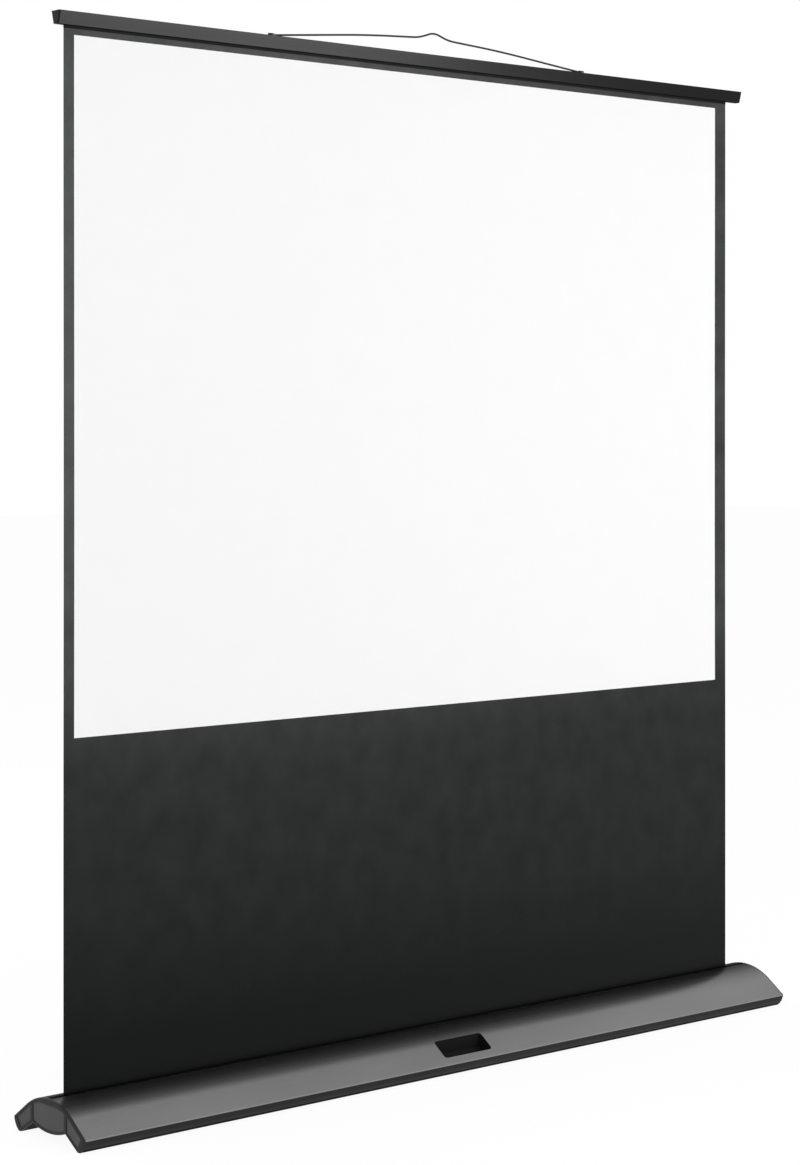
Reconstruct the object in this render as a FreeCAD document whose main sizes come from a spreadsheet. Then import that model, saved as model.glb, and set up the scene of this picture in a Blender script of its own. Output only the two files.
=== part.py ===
import FreeCAD, Part
import math
import os
import Sketcher
from FreeCAD import Rotation, Vector

# A portable floor-standing projection screen. A winged aluminium cassette lies on the floor and
# holds a spring roller. The fabric is drawn up through a slot along its ridge and hangs behind
# a tapered top bar, which a telescopic mast in the cassette's back holds up. A bent wire bail
# with a raised kink stands on the bar.
# Frame: X runs along the screen, the viewer is on the -Y side, Z is up, and the origin is
# on the floor under the middle of the cassette. The fabric hangs in the plane Y = 0.

SIZES = {
    # cassette, an aluminium extrusion closed by two moulded caps
    "cassette_end_room": 52.0,
    "base_depth": 243.2,
    "apex_height": 82.5,
    "arch_radius": 135.0,
    "wing_angle": 35.3,
    "under_angle": 32.0,
    "keel_height": 16.0,
    "web_spread": 114.0,
    "foot_inset": 16.6,
    "sole_width": 6.0,
    "sole_thickness": 3.0,
    "nose_radius": 36.0,
    "edge_strip_thickness": 3.5,
    "skin": 2.2,
    "slot_width": 8.0,
    "port_spread": 32.0,
    "port_radius": 3.4,
    "cap_thickness": 5.0,
    "cap_rim": 6.0,
    "cap_recess": 1.8,
    "cap_round": 3.0,
    "cap_panel_top_share": 0.55,
    "cap_tongue": 9.0,
    "cap_screw_head_radius": 3.4,
    "cap_screw_head_height": 1.8,
    "cap_screw_radius": 1.7,
    "cap_screw_length": 16.0,
    # hand grip in the front wing
    "grip_length": 133.0,
    "grip_width": 39.5,
    "grip_edge_room": 14.1,
    "grip_corner_radius": 7.0,
    "mouth_sink_share": 2.5,
    "tub_wall": 1.6,
    "tub_depth": 24.0,
    # plastic lips in the slot
    "lip_gap": 2.6,
    "lip_rise": 0.9,
    "lip_flange": 5.0,
    "lip_thickness": 1.8,
    # spring roller
    "roller_height": 46.0,
    "roller_radius": 16.0,
    "roller_wall": 1.5,
    "roller_overhang": 6.0,
    "wound_radius": 18.0,
    "plug_length": 22.0,
    "plug_flange": 2.0,
    "bush_radius": 6.5,
    "bush_flange_radius": 9.0,
    "pin_radius": 4.0,
    "bracket_thickness": 4.0,
    "bracket_hub_radius": 11.0,
    "bracket_hub_length": 7.0,
    "spring_radius": 10.5,
    "spring_wire_radius": 1.5,
    "spring_pitch": 11.0,
    "spring_anchor_length": 8.0,
    "shaft_length": 250.0,
    # fabric
    "image_width": 1800.0,
    "image_height": 1350.0,
    "top_border": 17.7,
    "image_shift": -23.0,
    "side_border": 30.0,
    "fabric_thickness": 0.5,
    "fabric_shift": -17.0,
    # top bar
    "bar_end_room": 30.5,
    "bar_shift": -5.0,
    "bar_bottom": 2132.6,
    "bar_height": 25.8,
    "bar_top_width": 26.6,
    "bar_bottom_width": 13.2,
    "bar_wall": 1.6,
    "bar_slot": 2.2,
    "bar_cap_thickness": 4.0,
    "bar_tongue": 12.0,
    "keder_bead_radius": 3.0,
    "keder_blade": 1.6,
    "keder_drop": 5.8,
    # wire bail
    "bail_wire_radius": 2.1,
    "bail_pivot_height": 3.4,
    "bail_end_reach": 7.0,
    "bail_rise_reach": 12.0,
    "bail_knee_span": 380.0,
    "bail_knee_height": 26.8,
    "kink_span": 84.0,
    "kink_foot_height": 35.5,
    "kink_top_span": 14.0,
    "bail_height": 46.9,
    "bend_share": 0.45,
    "end_bend_share": 0.15,
    "bail_end_radius": 2.8,
    "bail_end_length": 4.0,
    "lug_span": 876.0,
    "lug_length": 7.0,
    "lug_wall": 0.9,
    "lug_foot": 1.2,
    "lug_foot_width": 20.0,
    "rivet_radius": 1.3,
    "rivet_head_radius": 2.3,
    "rivet_head_height": 1.1,
    "rivet_spread": 14.6,
    # telescopic mast
    "mast_y": 32.0,
    "lower_radius": 14.0,
    "middle_radius": 12.0,
    "upper_radius": 10.0,
    "mast_wall": 1.2,
    "mast_bottom": 31.0,
    "section_length": 748.0,
    "section_overlap": 80.0,
    "guide_length": 20.0,
    "foot_plug_length": 10.0,
    "socket_wall": 3.0,
    "socket_flange_radius": 27.0,
    "socket_rise": 7.5,
    "socket_screw_spread": 42.0,
    "socket_screw_radius": 1.6,
    "socket_screw_head_radius": 3.2,
    "socket_screw_head_height": 2.0,
    "collar_radius": 18.5,
    "collar_length": 46.0,
    "collar_cover": 26.0,
    "collar_lip": 2.5,
    "collar_flute_radius": 3.0,
    "head_radius": 14.0,
    "head_length": 15.0,
    "head_spigot_radius": 8.0,
    "head_spigot_length": 11.5,
    "head_plug_length": 26.0,
    "catch_lift": 2.4,
    "catch_height": 16.0,
    "catch_width": 40.0,
    "catch_reach": 16.0,
    "catch_cup_depth": 12.5,
    "catch_ear_width": 78.0,
    "catch_ear_thickness": 2.5,
    "catch_rivet_spread": 60.0,
    # running fits and gaps
    "running_gap": 0.05,
    "seat_gap": 0.3,
    "loose_gap": 0.4,
    "overrun": 10.0,
}

COLLAR_FLUTES = 12
SPRING_TURNS = 16

doc = FreeCAD.newDocument("ProjectionScreen")
sheet = doc.addObject("Spreadsheet::Sheet", "Size")
for row, (name, number) in enumerate(SIZES.items(), 1):
    sheet.set("A%d" % row, name)
    sheet.set("B%d" % row, "%.6f" % number)
    sheet.setAlias("B%d" % row, name)
doc.recompute()

# Places worked out from the sizes above, each a formula that later objects refer to by name.
made = doc.addObject("App::VarSet", "Made")


def derive(name, formula):
    """Add a worked-out length to the document and give back the name that formulas use."""
    made.addProperty("App::PropertyFloat", name)
    made.setExpression(name, formula)
    made.recompute()
    made.purgeTouched()
    return "Made." + name


def value(formula):
    """The present number that a formula stands for."""
    result = sheet.evalExpression(formula)
    return float(getattr(result, "Value", result))


def bind(thing, **formulas):
    """Tie properties to formulas. A double underscore stands for the dot in a property's path."""
    for path, formula in formulas.items():
        thing.setExpression(path.replace("__", "."), formula)


parts = {}


def keep(thing, label):
    """Name a finished piece; its label is also its file's name."""
    thing.Label = label
    parts[label] = thing
    return thing


def new_body(name):
    return doc.addObject("PartDesign::Body", name)


def plane_of(owner, role):
    return [item for item in owner.Origin.OriginFeatures if item.Role == role][0]


def new_sketch(owner, role, offset=None):
    """An empty sketch on one of the body's own planes, set off along that plane's normal."""
    sketch = owner.newObject("Sketcher::SketchObject", "Sketch")
    sketch.AttachmentSupport = [(plane_of(owner, role), "")]
    sketch.MapMode = "FlatFace"
    if offset:
        sketch.setExpression("AttachmentOffset.Base.z", offset)
    return sketch


def pin_down(sketch, edge, end, across, up):
    """Hold one end of an edge at a place given by two formulas."""
    for kind, formula in (("DistanceX", across), ("DistanceY", up)):
        held = sketch.addConstraint(Sketcher.Constraint(kind, -1, 1, edge, end, value(formula)))
        sketch.setExpression("Constraints[%d]" % held, formula)


def draw(sketch, corners):
    """Add one closed outline. A corner is (across, up) or (across, up, radius); with a radius the
    side that leaves it is an arc whose centre lies to the right of the way it goes, or to the
    left where a fourth entry says "left"."""
    first = sketch.GeometryCount
    ends = []
    for index, corner in enumerate(corners):
        after = corners[(index + 1) % len(corners)]
        start = Vector(value(corner[0]), value(corner[1]), 0)
        stop = Vector(value(after[0]), value(after[1]), 0)
        if len(corner) == 2:
            edge = sketch.addGeometry(Part.LineSegment(start, stop), False)
            ends.append((edge, 1, 2))
            continue
        radius = value(corner[2])
        side = -1 if "left" in corner[3:] else 1
        chord = stop - start
        reach = math.sqrt(max(radius ** 2 - (chord.Length / 2) ** 2, 0))
        right = Vector(chord.y, -chord.x, 0).normalize()
        centre = (start + stop) * 0.5 + right * (reach * side)
        if side < 0:
            start, stop = stop, start
        angles = [math.atan2((p - centre).y, (p - centre).x) for p in (stop, start)]
        circle = Part.Circle(centre, Vector(0, 0, 1), radius)
        edge = sketch.addGeometry(Part.ArcOfCircle(circle, angles[0], angles[1]), False)
        ends.append((edge, 2, 1) if side > 0 else (edge, 1, 2))
        held = sketch.addConstraint(Sketcher.Constraint("Radius", edge, radius))
        sketch.setExpression("Constraints[%d]" % held, corner[2])
    for index, (edge, near, far) in enumerate(ends):
        following = ends[(index + 1) % len(ends)]
        sketch.addConstraint(Sketcher.Constraint("Coincident", edge, far, following[0], following[1]))
        pin_down(sketch, edge, near, corners[index][0], corners[index][1])
    return first


def draw_circle(sketch, across, up, radius):
    """Add a circle held at its centre."""
    centre = Vector(value(across), value(up), 0)
    edge = sketch.addGeometry(Part.Circle(centre, Vector(0, 0, 1), value(radius)), False)
    pin_down(sketch, edge, 3, across, up)
    held = sketch.addConstraint(Sketcher.Constraint("Radius", edge, value(radius)))
    sketch.setExpression("Constraints[%d]" % held, radius)


def pad(owner, sketch, length):
    """Grow a sketch along its plane's normal."""
    feature = owner.newObject("PartDesign::Pad", "Pad")
    feature.Profile = sketch
    feature.setExpression("Length", length)
    sketch.Visibility = False
    doc.recompute()
    return feature


def pocket(owner, sketch, depth, along=False):
    """Cut a sketch out of the body, against its plane's normal or along it."""
    feature = owner.newObject("PartDesign::Pocket", "Pocket")
    feature.Profile = sketch
    feature.Reversed = along
    feature.setExpression("Length", depth)
    sketch.Visibility = False
    doc.recompute()
    return feature


def prism(label, outlines, start, length):
    """A bar along X: outlines in the YZ plane, padded from the place called start."""
    owner = new_body(label)
    sketch = new_sketch(owner, "YZ_Plane", start)
    for corners in outlines:
        draw(sketch, corners)
    pad(owner, sketch, length)
    return keep(owner, label)


def turned(label, corners, axis, x="0", y="0", z="0"):
    """A turned piece. Corners are (radius, place along the axis); the axis is Z or X, and the
    piece's own origin goes to x, y, z."""
    owner = new_body(label)
    sketch = new_sketch(owner, "XZ_Plane")
    along_x = axis == "X"
    draw(sketch, [(far, near) if along_x else (near, far) for near, far in corners])
    turn = owner.newObject("PartDesign::Revolution", "Revolution")
    turn.Profile = sketch
    turn.ReferenceAxis = (sketch, ["H_Axis" if along_x else "V_Axis"])
    turn.Angle = 360.0
    sketch.Visibility = False
    bind(owner, Placement__Base__x=x, Placement__Base__y=y, Placement__Base__z=z)
    doc.recompute()
    return keep(owner, label)


def mirrored(corners):
    """The same outline on the other side of the middle plane, in the same turning sense."""
    flipped = []
    for index in range(len(corners), 0, -1):
        corner = corners[index % len(corners)]
        leaving = corners[index - 1]
        flipped.append(("-(%s)" % corner[0], corner[1]) + tuple(leaving[2:]))
    return flipped


# The fabric's width sets how long the cassette and the bar are.
fabric_half = derive("fabric_half", "Size.image_width / 2 + Size.side_border")
half_length = derive("half_length", "Made.fabric_half + Size.cassette_end_room")
inner_half = derive("inner_half", "Made.half_length - Size.cap_thickness")
body_length = derive("body_length", "2 * Made.inner_half")
bar_half = derive("bar_half", "Made.fabric_half + Size.bar_end_room")

# Outline of the cassette's cross-section. Y grows to the back; the front half is its mirror image.
edge_y = derive("edge_y", "Size.base_depth / 2")
foot_y = derive("foot_y", "Made.edge_y - Size.foot_inset")
sole_y = derive("sole_y", "Made.foot_y - Size.sole_width")
grip_lower_y = derive("grip_lower_y", "Made.edge_y - Size.grip_edge_room")
grip_upper_y = derive("grip_upper_y", "Made.grip_lower_y - Size.grip_width")
web_y = derive("web_y", "Size.web_spread / 2")
bend_y = derive("bend_y", "Size.arch_radius * sin(Size.wing_angle)")
bend_z = derive("bend_z", "Size.apex_height - Size.arch_radius * (1 - cos(Size.wing_angle))")
edge_z = derive("edge_z", "Made.bend_z - (Made.edge_y - Made.bend_y) * tan(Size.wing_angle)")
lip_z = derive("lip_z", "Made.edge_z - Size.skin / cos(Size.wing_angle)")
corner_z = derive("corner_z", "(Made.sole_y - Made.web_y) * tan(Size.under_angle)")
keel_sag = derive("keel_sag", "Made.corner_z - Size.keel_height")
keel_radius = derive("keel_radius", "(Made.web_y^2 + Made.keel_sag^2) / (2 * Made.keel_sag)")
lean = derive("lean", "(Made.edge_y - Made.foot_y) / Made.edge_z")
skew = derive("skew", "sqrt(1 + Made.lean^2)")


def arch_under(y, depth):
    """Height of the arch's underside at y, under a skin of the given depth."""
    radius = "(Size.arch_radius - %s)" % depth
    return "Size.apex_height - Size.arch_radius + sqrt(%s^2 - (%s)^2)" % (radius, y)


def keel_over(y, depth):
    """Height above the keel's floor at y, over a wall of the given depth."""
    radius = "(Made.keel_radius - %s)" % depth
    return "Size.keel_height + Made.keel_radius - sqrt(%s^2 - (%s)^2)" % (radius, y)


def slope_line(name, depth):
    """Where a line under the wing's slope, at this depth, crosses Y = 0."""
    return derive(name, "Made.edge_z + Made.edge_y * tan(Size.wing_angle) - %s / cos(Size.wing_angle)" % depth)


def recess_point(name, slope, inset):
    """The corner where a line under the slope meets a line set in from the wing's leaning edge."""
    foot = "(Made.foot_y - %s * Made.skew)" % inset
    angle = "tan(Size.wing_angle)"
    up = derive(name + "_z", "(%s - %s * %s) / (1 + Made.lean * %s)" % (slope, foot, angle, angle))
    across = derive(name + "_y", "%s + Made.lean * %s" % (foot, up))
    return across, up


skin_slope = slope_line("skin_slope", "Size.skin")
strip_top = recess_point("strip_top", skin_slope, "Size.edge_strip_thickness")
strip_base_y = derive("strip_base_y", "Made.foot_y + Made.lean * Size.sole_thickness"
                      " - Size.edge_strip_thickness * Made.skew")
sole_top_y = derive("sole_top_y", "Made.sole_y - Size.sole_thickness / tan(Size.under_angle)")


def wing_chamber(name, depth):
    """Outline inside the rear wing, set in by depth from the skin all round."""
    near = derive(name + "_near", "Made.web_y - Size.skin / 2 + %s" % depth)
    slope = slope_line(name + "_slope", depth)
    inset = "(Size.edge_strip_thickness + %s)" % depth
    outer = recess_point(name + "_outer", slope, inset)
    floor = derive(name + "_floor", "Size.sole_thickness + %s" % depth)
    low_y = derive(name + "_low_y", "Made.foot_y + Made.lean * %s - %s * Made.skew" % (floor, inset))
    rise = "%s / cos(Size.under_angle)" % depth
    toe_y = derive(name + "_toe_y", "Made.sole_y - (%s - %s) / tan(Size.under_angle)" % (floor, rise))
    near_z = derive(name + "_near_z", "(Made.sole_y - %s) * tan(Size.under_angle) + %s" % (near, rise))
    bend_in_y = derive(name + "_bend_y", "Made.bend_y - %s * sin(Size.wing_angle)" % depth)
    bend_in_z = derive(name + "_bend_z", "Made.bend_z - %s * cos(Size.wing_angle)" % depth)
    return [
        (near, arch_under(near, depth), "Size.arch_radius - %s" % depth),
        (bend_in_y, bend_in_z),
        outer,
        (low_y, floor),
        (toe_y, floor),
        (near, near_z),
    ]


def roller_chamber(name, depth, side=None):
    """Outline inside the middle of the cassette, between the two webs."""
    wide = side or derive(name + "_wide", "Made.web_y + Size.skin / 2 - %s" % depth)
    return [
        ("-(%s)" % wide, arch_under(wide, depth), "Size.arch_radius - %s" % depth),
        (wide, arch_under(wide, depth)),
        (wide, keel_over(wide, depth), "Made.keel_radius - %s" % depth),
        ("-(%s)" % wide, keel_over(wide, depth)),
    ]


# Cassette extrusion: arched top with wings, three chambers, a slot along the ridge,
# two screw ports, the hand grip's mouth and the holes for the mast socket.
def make_extrusion():
    owner = new_body("wing_extrusion")
    outside = new_sketch(owner, "YZ_Plane", "-" + inner_half)
    rear = [
        (bend_y, bend_z),
        (edge_y, edge_z),
        (edge_y, lip_z),
        strip_top,
        (strip_base_y, "Size.sole_thickness"),
        (sole_top_y, "Size.sole_thickness"),
        (web_y, corner_z, keel_radius),
    ]
    front = [("-(%s)" % corner[0], corner[1]) for corner in reversed(rear)]
    front[-1] = front[-1] + ("Size.arch_radius",)
    draw(outside, rear + front)
    pad(owner, outside, body_length)

    hollows = new_sketch(owner, "YZ_Plane", "-" + inner_half)
    wing = wing_chamber("wing_inner", "Size.skin")
    draw(hollows, wing)
    draw(hollows, mirrored(wing))
    draw(hollows, roller_chamber("roller_inner", "Size.skin"))
    pocket(owner, hollows, body_length, along=True)

    ports = new_sketch(owner, "YZ_Plane", "-" + inner_half)
    for side in ("-", ""):
        draw_circle(ports, side + port_y, port_z, "Size.port_radius")
    pad(owner, ports, body_length)

    bores = new_sketch(owner, "YZ_Plane", "-" + inner_half)
    for side in ("-", ""):
        draw_circle(bores, side + port_y, port_z, "Size.cap_screw_radius")
    half_slot = "Size.slot_width / 2"
    floor = arch_under("0", "Size.skin") + " - Size.skin"
    draw(bores, [
        ("-" + half_slot, "Size.apex_height + Size.skin"),
        (half_slot, "Size.apex_height + Size.skin"),
        (half_slot, floor),
        ("-" + half_slot, floor),
    ])
    pocket(owner, bores, body_length, along=True)

    mouth = new_sketch(owner, "XY_Plane", "Size.apex_height")
    draw(mouth, rounded_box("Size.grip_length / 2", grip_upper_y, grip_lower_y))
    pocket(owner, mouth, "Size.apex_height - " + grip_floor)

    holes = new_sketch(owner, "XY_Plane", "Size.apex_height")
    draw_circle(holes, "0", "Size.mast_y", socket_radius)
    for side in ("-", ""):
        draw_circle(holes, side + "Size.socket_screw_spread / 2", "Size.mast_y", "Size.socket_screw_radius")
    pocket(owner, holes, "Size.apex_height - " + screw_floor)
    return keep(owner, "wing_extrusion")


def rounded_box(half, near, far):
    """The grip's outline seen from above, with rounded corners, on the front side."""
    corner = "Size.grip_corner_radius"
    return [
        ("-%s + %s" % (half, corner), "-" + near),
        ("%s - %s" % (half, corner), "-" + near, corner),
        (half, "-%s - %s" % (near, corner)),
        (half, "-%s + %s" % (far, corner), corner),
        ("%s - %s" % (half, corner), "-" + far),
        ("-%s + %s" % (half, corner), "-" + far, corner),
        ("-" + half, "-%s + %s" % (far, corner)),
        ("-" + half, "-%s - %s" % (near, corner), corner),
    ]


port_y = derive("port_y", "Size.port_spread / 2")
port_z = derive("port_z", arch_under("Made.port_y", "Size.skin") + " - Size.port_radius + Size.skin / 4")
grip_floor = derive("grip_floor", "Made.edge_z + (Made.edge_y - Made.grip_lower_y) * tan(Size.wing_angle)"
                    " - Size.mouth_sink_share * Size.skin")
socket_radius = derive("socket_radius", "Size.lower_radius + Size.running_gap + Size.socket_wall")
screw_floor = derive("screw_floor", arch_under("Size.mast_y + Made.socket_radius", "Size.skin") + " - 2 * Size.skin")
make_extrusion()


# Dark strips clipped along both long edges; their soles are what the cassette stands on.
def edge_strip():
    return [
        (edge_y, lip_z, "Size.nose_radius"),
        (foot_y, "0"),
        (sole_y, "0"),
        (sole_top_y, "Size.sole_thickness"),
        (strip_base_y, "Size.sole_thickness"),
        strip_top,
    ]


prism("rear_edge_strip", [edge_strip()], "-" + inner_half, body_length)
prism("front_edge_strip", [mirrored(edge_strip())], "-" + inner_half, body_length)


# End caps: a moulded plate over the whole section with recessed panels, and a tongue that
# fits inside the roller chamber under the screw ports.
def make_end_cap(label, side):
    owner = new_body(label)
    inner = "-" + half_length if side < 0 else inner_half
    plate = new_sketch(owner, "YZ_Plane", inner)
    rear = [
        (bend_y, bend_z),
        (edge_y, edge_z),
        (edge_y, lip_z, "Size.nose_radius"),
        (foot_y, "0"),
        (sole_y, "0"),
        (web_y, corner_z, keel_radius),
    ]
    front = [("-(%s)" % corner[0], corner[1]) for corner in reversed(rear)]
    front[2] = front[2] + ("Size.nose_radius",)
    front[-1] = front[-1] + ("Size.arch_radius",)
    draw(plate, rear + front)
    solid = pad(owner, plate, "Size.cap_thickness")
    outer = max(abs(face.CenterOfMass.x) for face in solid.Shape.Faces)
    rims = []
    for index, edge in enumerate(solid.Shape.Edges, 1):
        if all(abs(abs(vertex.X) - outer) < SIZES["seat_gap"] for vertex in edge.Vertexes):
            rims.append("Edge%d" % index)
    rounding = owner.newObject("PartDesign::Fillet", "Rounding")
    rounding.Base = (solid, rims)
    rounding.setExpression("Radius", "Size.cap_round")
    doc.recompute()

    panels = new_sketch(owner, "YZ_Plane", "-" + half_length if side < 0 else half_length)
    wing = wing_chamber(label + "_panel", "Size.cap_rim")
    draw(panels, wing)
    draw(panels, mirrored(wing))
    wide = derive(label + "_wide", "Made.web_y - Size.cap_rim / 2")
    top = derive(label + "_top", "Made.port_z - Size.cap_screw_head_radius - Size.cap_rim / 2")
    low = keel_over(wide, "Size.cap_rim")
    draw(panels, [
        ("-" + wide, arch_under(wide, "Size.cap_rim")),
        ("-%s * Size.cap_panel_top_share" % wide, top),
        ("%s * Size.cap_panel_top_share" % wide, top),
        (wide, arch_under(wide, "Size.cap_rim")),
        (wide, low, "Made.keel_radius - Size.cap_rim"),
        ("-" + wide, low),
    ])
    pocket(owner, panels, "Size.cap_recess", along=side < 0)

    tongue = new_sketch(owner, "YZ_Plane", "-" + inner_half if side < 0 else inner_half + " - Size.cap_tongue")
    shape = wing_chamber(label + "_tongue", "(Size.skin + Size.running_gap)")
    draw(tongue, shape)
    draw(tongue, mirrored(shape))
    pad(owner, tongue, "Size.cap_tongue")

    core = new_sketch(owner, "YZ_Plane", "-" + inner_half if side < 0 else inner_half + " - Size.cap_tongue")
    shape = wing_chamber(label + "_core", "(2 * Size.skin)")
    draw(core, shape)
    draw(core, mirrored(shape))
    pocket(owner, core, "Size.cap_tongue", along=True)

    for radius, depth in (("Size.cap_screw_radius", "Size.cap_thickness"),
                          ("Size.cap_screw_head_radius", "Size.cap_screw_head_height")):
        holes = new_sketch(owner, "YZ_Plane", "-" + half_length if side < 0 else half_length)
        for hand in ("-", ""):
            draw_circle(holes, hand + port_y, port_z, radius)
        pocket(owner, holes, depth, along=side < 0)
    return keep(owner, label)


make_end_cap("left_end_cap", -1)
make_end_cap("right_end_cap", 1)


def rod(name, radius, length, x, y, z, axis=None, angle="0"):
    """A plain cylinder whose base centre is at x, y, z; it stands along Z unless turned."""
    item = doc.addObject("Part::Cylinder", name)
    bind(item, Radius=radius, Height=length)
    bind(item, Placement__Base__x=x, Placement__Base__y=y, Placement__Base__z=z)
    if axis:
        item.Placement.Rotation = Rotation(axis, value(angle))
        bind(item, Placement__Rotation__Angle=angle)
    return item


def fused(name, *items):
    item = doc.addObject("Part::MultiFuse", name)
    item.Shapes = list(items)
    return item


def cut(name, base, tool):
    item = doc.addObject("Part::Cut", name)
    item.Base = base
    item.Tool = tool
    return item


def group(label, items):
    """Separate solids under one name, for fasteners that are all alike."""
    item = doc.addObject("Part::Compound", label)
    item.Links = items
    return keep(item, label)


# Countersunk screws that hold the caps, two at each end, driven into the extrusion's ports.
def make_cap_screws():
    screws = []
    for end, turn in ((-1, 90), (1, -90)):
        face = "-%s" % half_length if end < 0 else half_length
        for hand in ("-", ""):
            place = (face, hand + port_y, port_z, Vector(0, 1, 0), str(turn))
            head = rod("ScrewHead", "Size.cap_screw_head_radius", "Size.cap_screw_head_height", *place)
            shank = rod("ScrewShank", "Size.cap_screw_radius", "Size.cap_screw_length", *place)
            screws.append(fused("CapScrew", head, shank))
    group("end_cap_screws", screws)


make_cap_screws()


# Grip tub: a moulded cup behind the grip's mouth, so that the hand doesn't reach into the
# hollow wing. Its rim touches the underside of the top skin.
def make_grip_tub():
    owner = new_body("grip_tub")
    wall = "Size.tub_wall"
    low = grip_lower_y
    high = grip_upper_y

    def slope(y, depth):
        return "(%s - (%s) * tan(Size.wing_angle) - (%s) / cos(Size.wing_angle))" % (plain_slope, y, depth)

    half = "(Size.grip_length / 2 + Size.tub_wall)"
    block = new_sketch(owner, "YZ_Plane", "-" + half)
    near = "(%s - %s)" % (high, wall)
    far = "(%s + %s)" % (low, wall)
    draw(block, [
        ("-" + far, slope(far, "Size.skin")),
        ("-" + near, arch_under(near, "Size.skin")),
        ("-" + near, slope(near, "Size.skin + Size.tub_depth")),
        ("-(%s - Size.tub_depth / 2)" % far, slope(far + " - Size.tub_depth / 2", "Size.skin + Size.tub_depth")),
        ("-" + far, slope(far, "Size.skin + Size.tub_depth / 2")),
    ])
    pad(owner, block, "2 * " + half)
    cup = new_sketch(owner, "YZ_Plane", "-Size.grip_length / 2")
    deep = "Size.skin + Size.tub_depth - Size.tub_wall"
    draw(cup, [
        ("-" + low, "Size.apex_height"),
        ("-" + high, "Size.apex_height"),
        ("-" + high, slope(high, deep)),
        ("-(%s - Size.tub_depth / 2)" % low, slope(low + " - Size.tub_depth / 2", deep)),
        ("-" + low, slope(low, "Size.skin + Size.tub_depth / 2 - Size.tub_wall")),
    ])
    pocket(owner, cup, "Size.grip_length", along=True)
    return keep(owner, "grip_tub")


plain_slope = derive("plain_slope", "Made.edge_z + Made.edge_y * tan(Size.wing_angle)")
make_grip_tub()


# Plastic lips along both sides of the slot keep the fabric off the metal. Each hooks under
# the skin with a flange.
def slot_lip():
    inner = "Size.lip_gap / 2"
    outer = "Size.slot_width / 2"
    tip = "(Size.slot_width / 2 + Size.lip_flange)"
    under = arch_under(tip, "(Size.skin + Size.running_gap)")
    return [
        (inner, "Size.apex_height + Size.lip_rise"),
        (outer, "Size.apex_height + Size.lip_rise"),
        (outer, under),
        (tip, under),
        (tip, under + " - Size.lip_thickness"),
        (inner, under + " - Size.lip_thickness"),
    ]


prism("rear_slot_lip", [slot_lip()], "-" + inner_half, body_length)
prism("front_slot_lip", [mirrored(slot_lip())], "-" + inner_half, body_length)


# Spring roller. Its axis lies in front of the fabric's plane, so the fabric leaves the back of
# the winding straight up through the slot. The spring is at the right-hand end.
roller_y = derive("roller_y", "-(Size.wound_radius + Size.fabric_thickness / 2 + Size.seat_gap)")
fabric_left = derive("fabric_left", "Size.fabric_shift - Made.fabric_half")
fabric_right = derive("fabric_right", "Size.fabric_shift + Made.fabric_half")
tube_left = derive("tube_left", "Made.fabric_left - Size.roller_overhang")
tube_right = derive("tube_right", "Made.fabric_right + Size.roller_overhang")
tube_length = derive("tube_length", "Made.tube_right - Made.tube_left")
bracket_left = derive("bracket_left", "-Made.inner_half")
bracket_right = derive("bracket_right", "Made.inner_half - Size.bracket_thickness")


def roller_ring(label, inner, outer, start, length):
    return turned(label, [(inner, "0"), (outer, "0"), (outer, length), (inner, length)], "X",
                  start, roller_y, "Size.roller_height")


roller_ring("roller_tube", "Size.roller_radius - Size.roller_wall", "Size.roller_radius", tube_left, tube_length)
roller_ring("wound_fabric", "Size.roller_radius", "Size.wound_radius", fabric_left, "2 * " + fabric_half)


def make_plug(label, side):
    """A moulded plug in one end of the tube, bored for its bush, with a flange outside."""
    bore = "Size.bush_radius"
    body = "Size.roller_radius - Size.roller_wall"
    flange = "Size.roller_radius"
    sign = "-" if side < 0 else ""
    corners = [
        (bore, "%sSize.plug_flange" % sign),
        (flange, "%sSize.plug_flange" % sign),
        (flange, "0"),
        (body, "0"),
        (body, "%s(-Size.plug_length)" % sign),
        (bore, "%s(-Size.plug_length)" % sign),
    ]
    turned(label, corners, "X", tube_left if side < 0 else tube_right, roller_y, "Size.roller_height")


make_plug("idler_plug", -1)
make_plug("spring_plug", 1)


def make_bush(label, side):
    """A flanged bush, pressed into the plug and running on the pin or the shaft."""
    bore = "(Size.pin_radius + Size.running_gap)"
    face = "Size.plug_flange"
    sign = "-" if side < 0 else ""
    corners = [
        (bore, "%s(%s + Size.bush_radius / 4)" % (sign, face)),
        ("Size.bush_flange_radius", "%s(%s + Size.bush_radius / 4)" % (sign, face)),
        ("Size.bush_flange_radius", sign + face),
        ("Size.bush_radius", sign + face),
        ("Size.bush_radius", "%s(-Size.plug_length)" % sign),
        (bore, "%s(-Size.plug_length)" % sign),
    ]
    turned(label, corners, "X", tube_left if side < 0 else tube_right, roller_y, "Size.roller_height")


make_bush("idler_bush", -1)
make_bush("spring_bush", 1)


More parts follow.
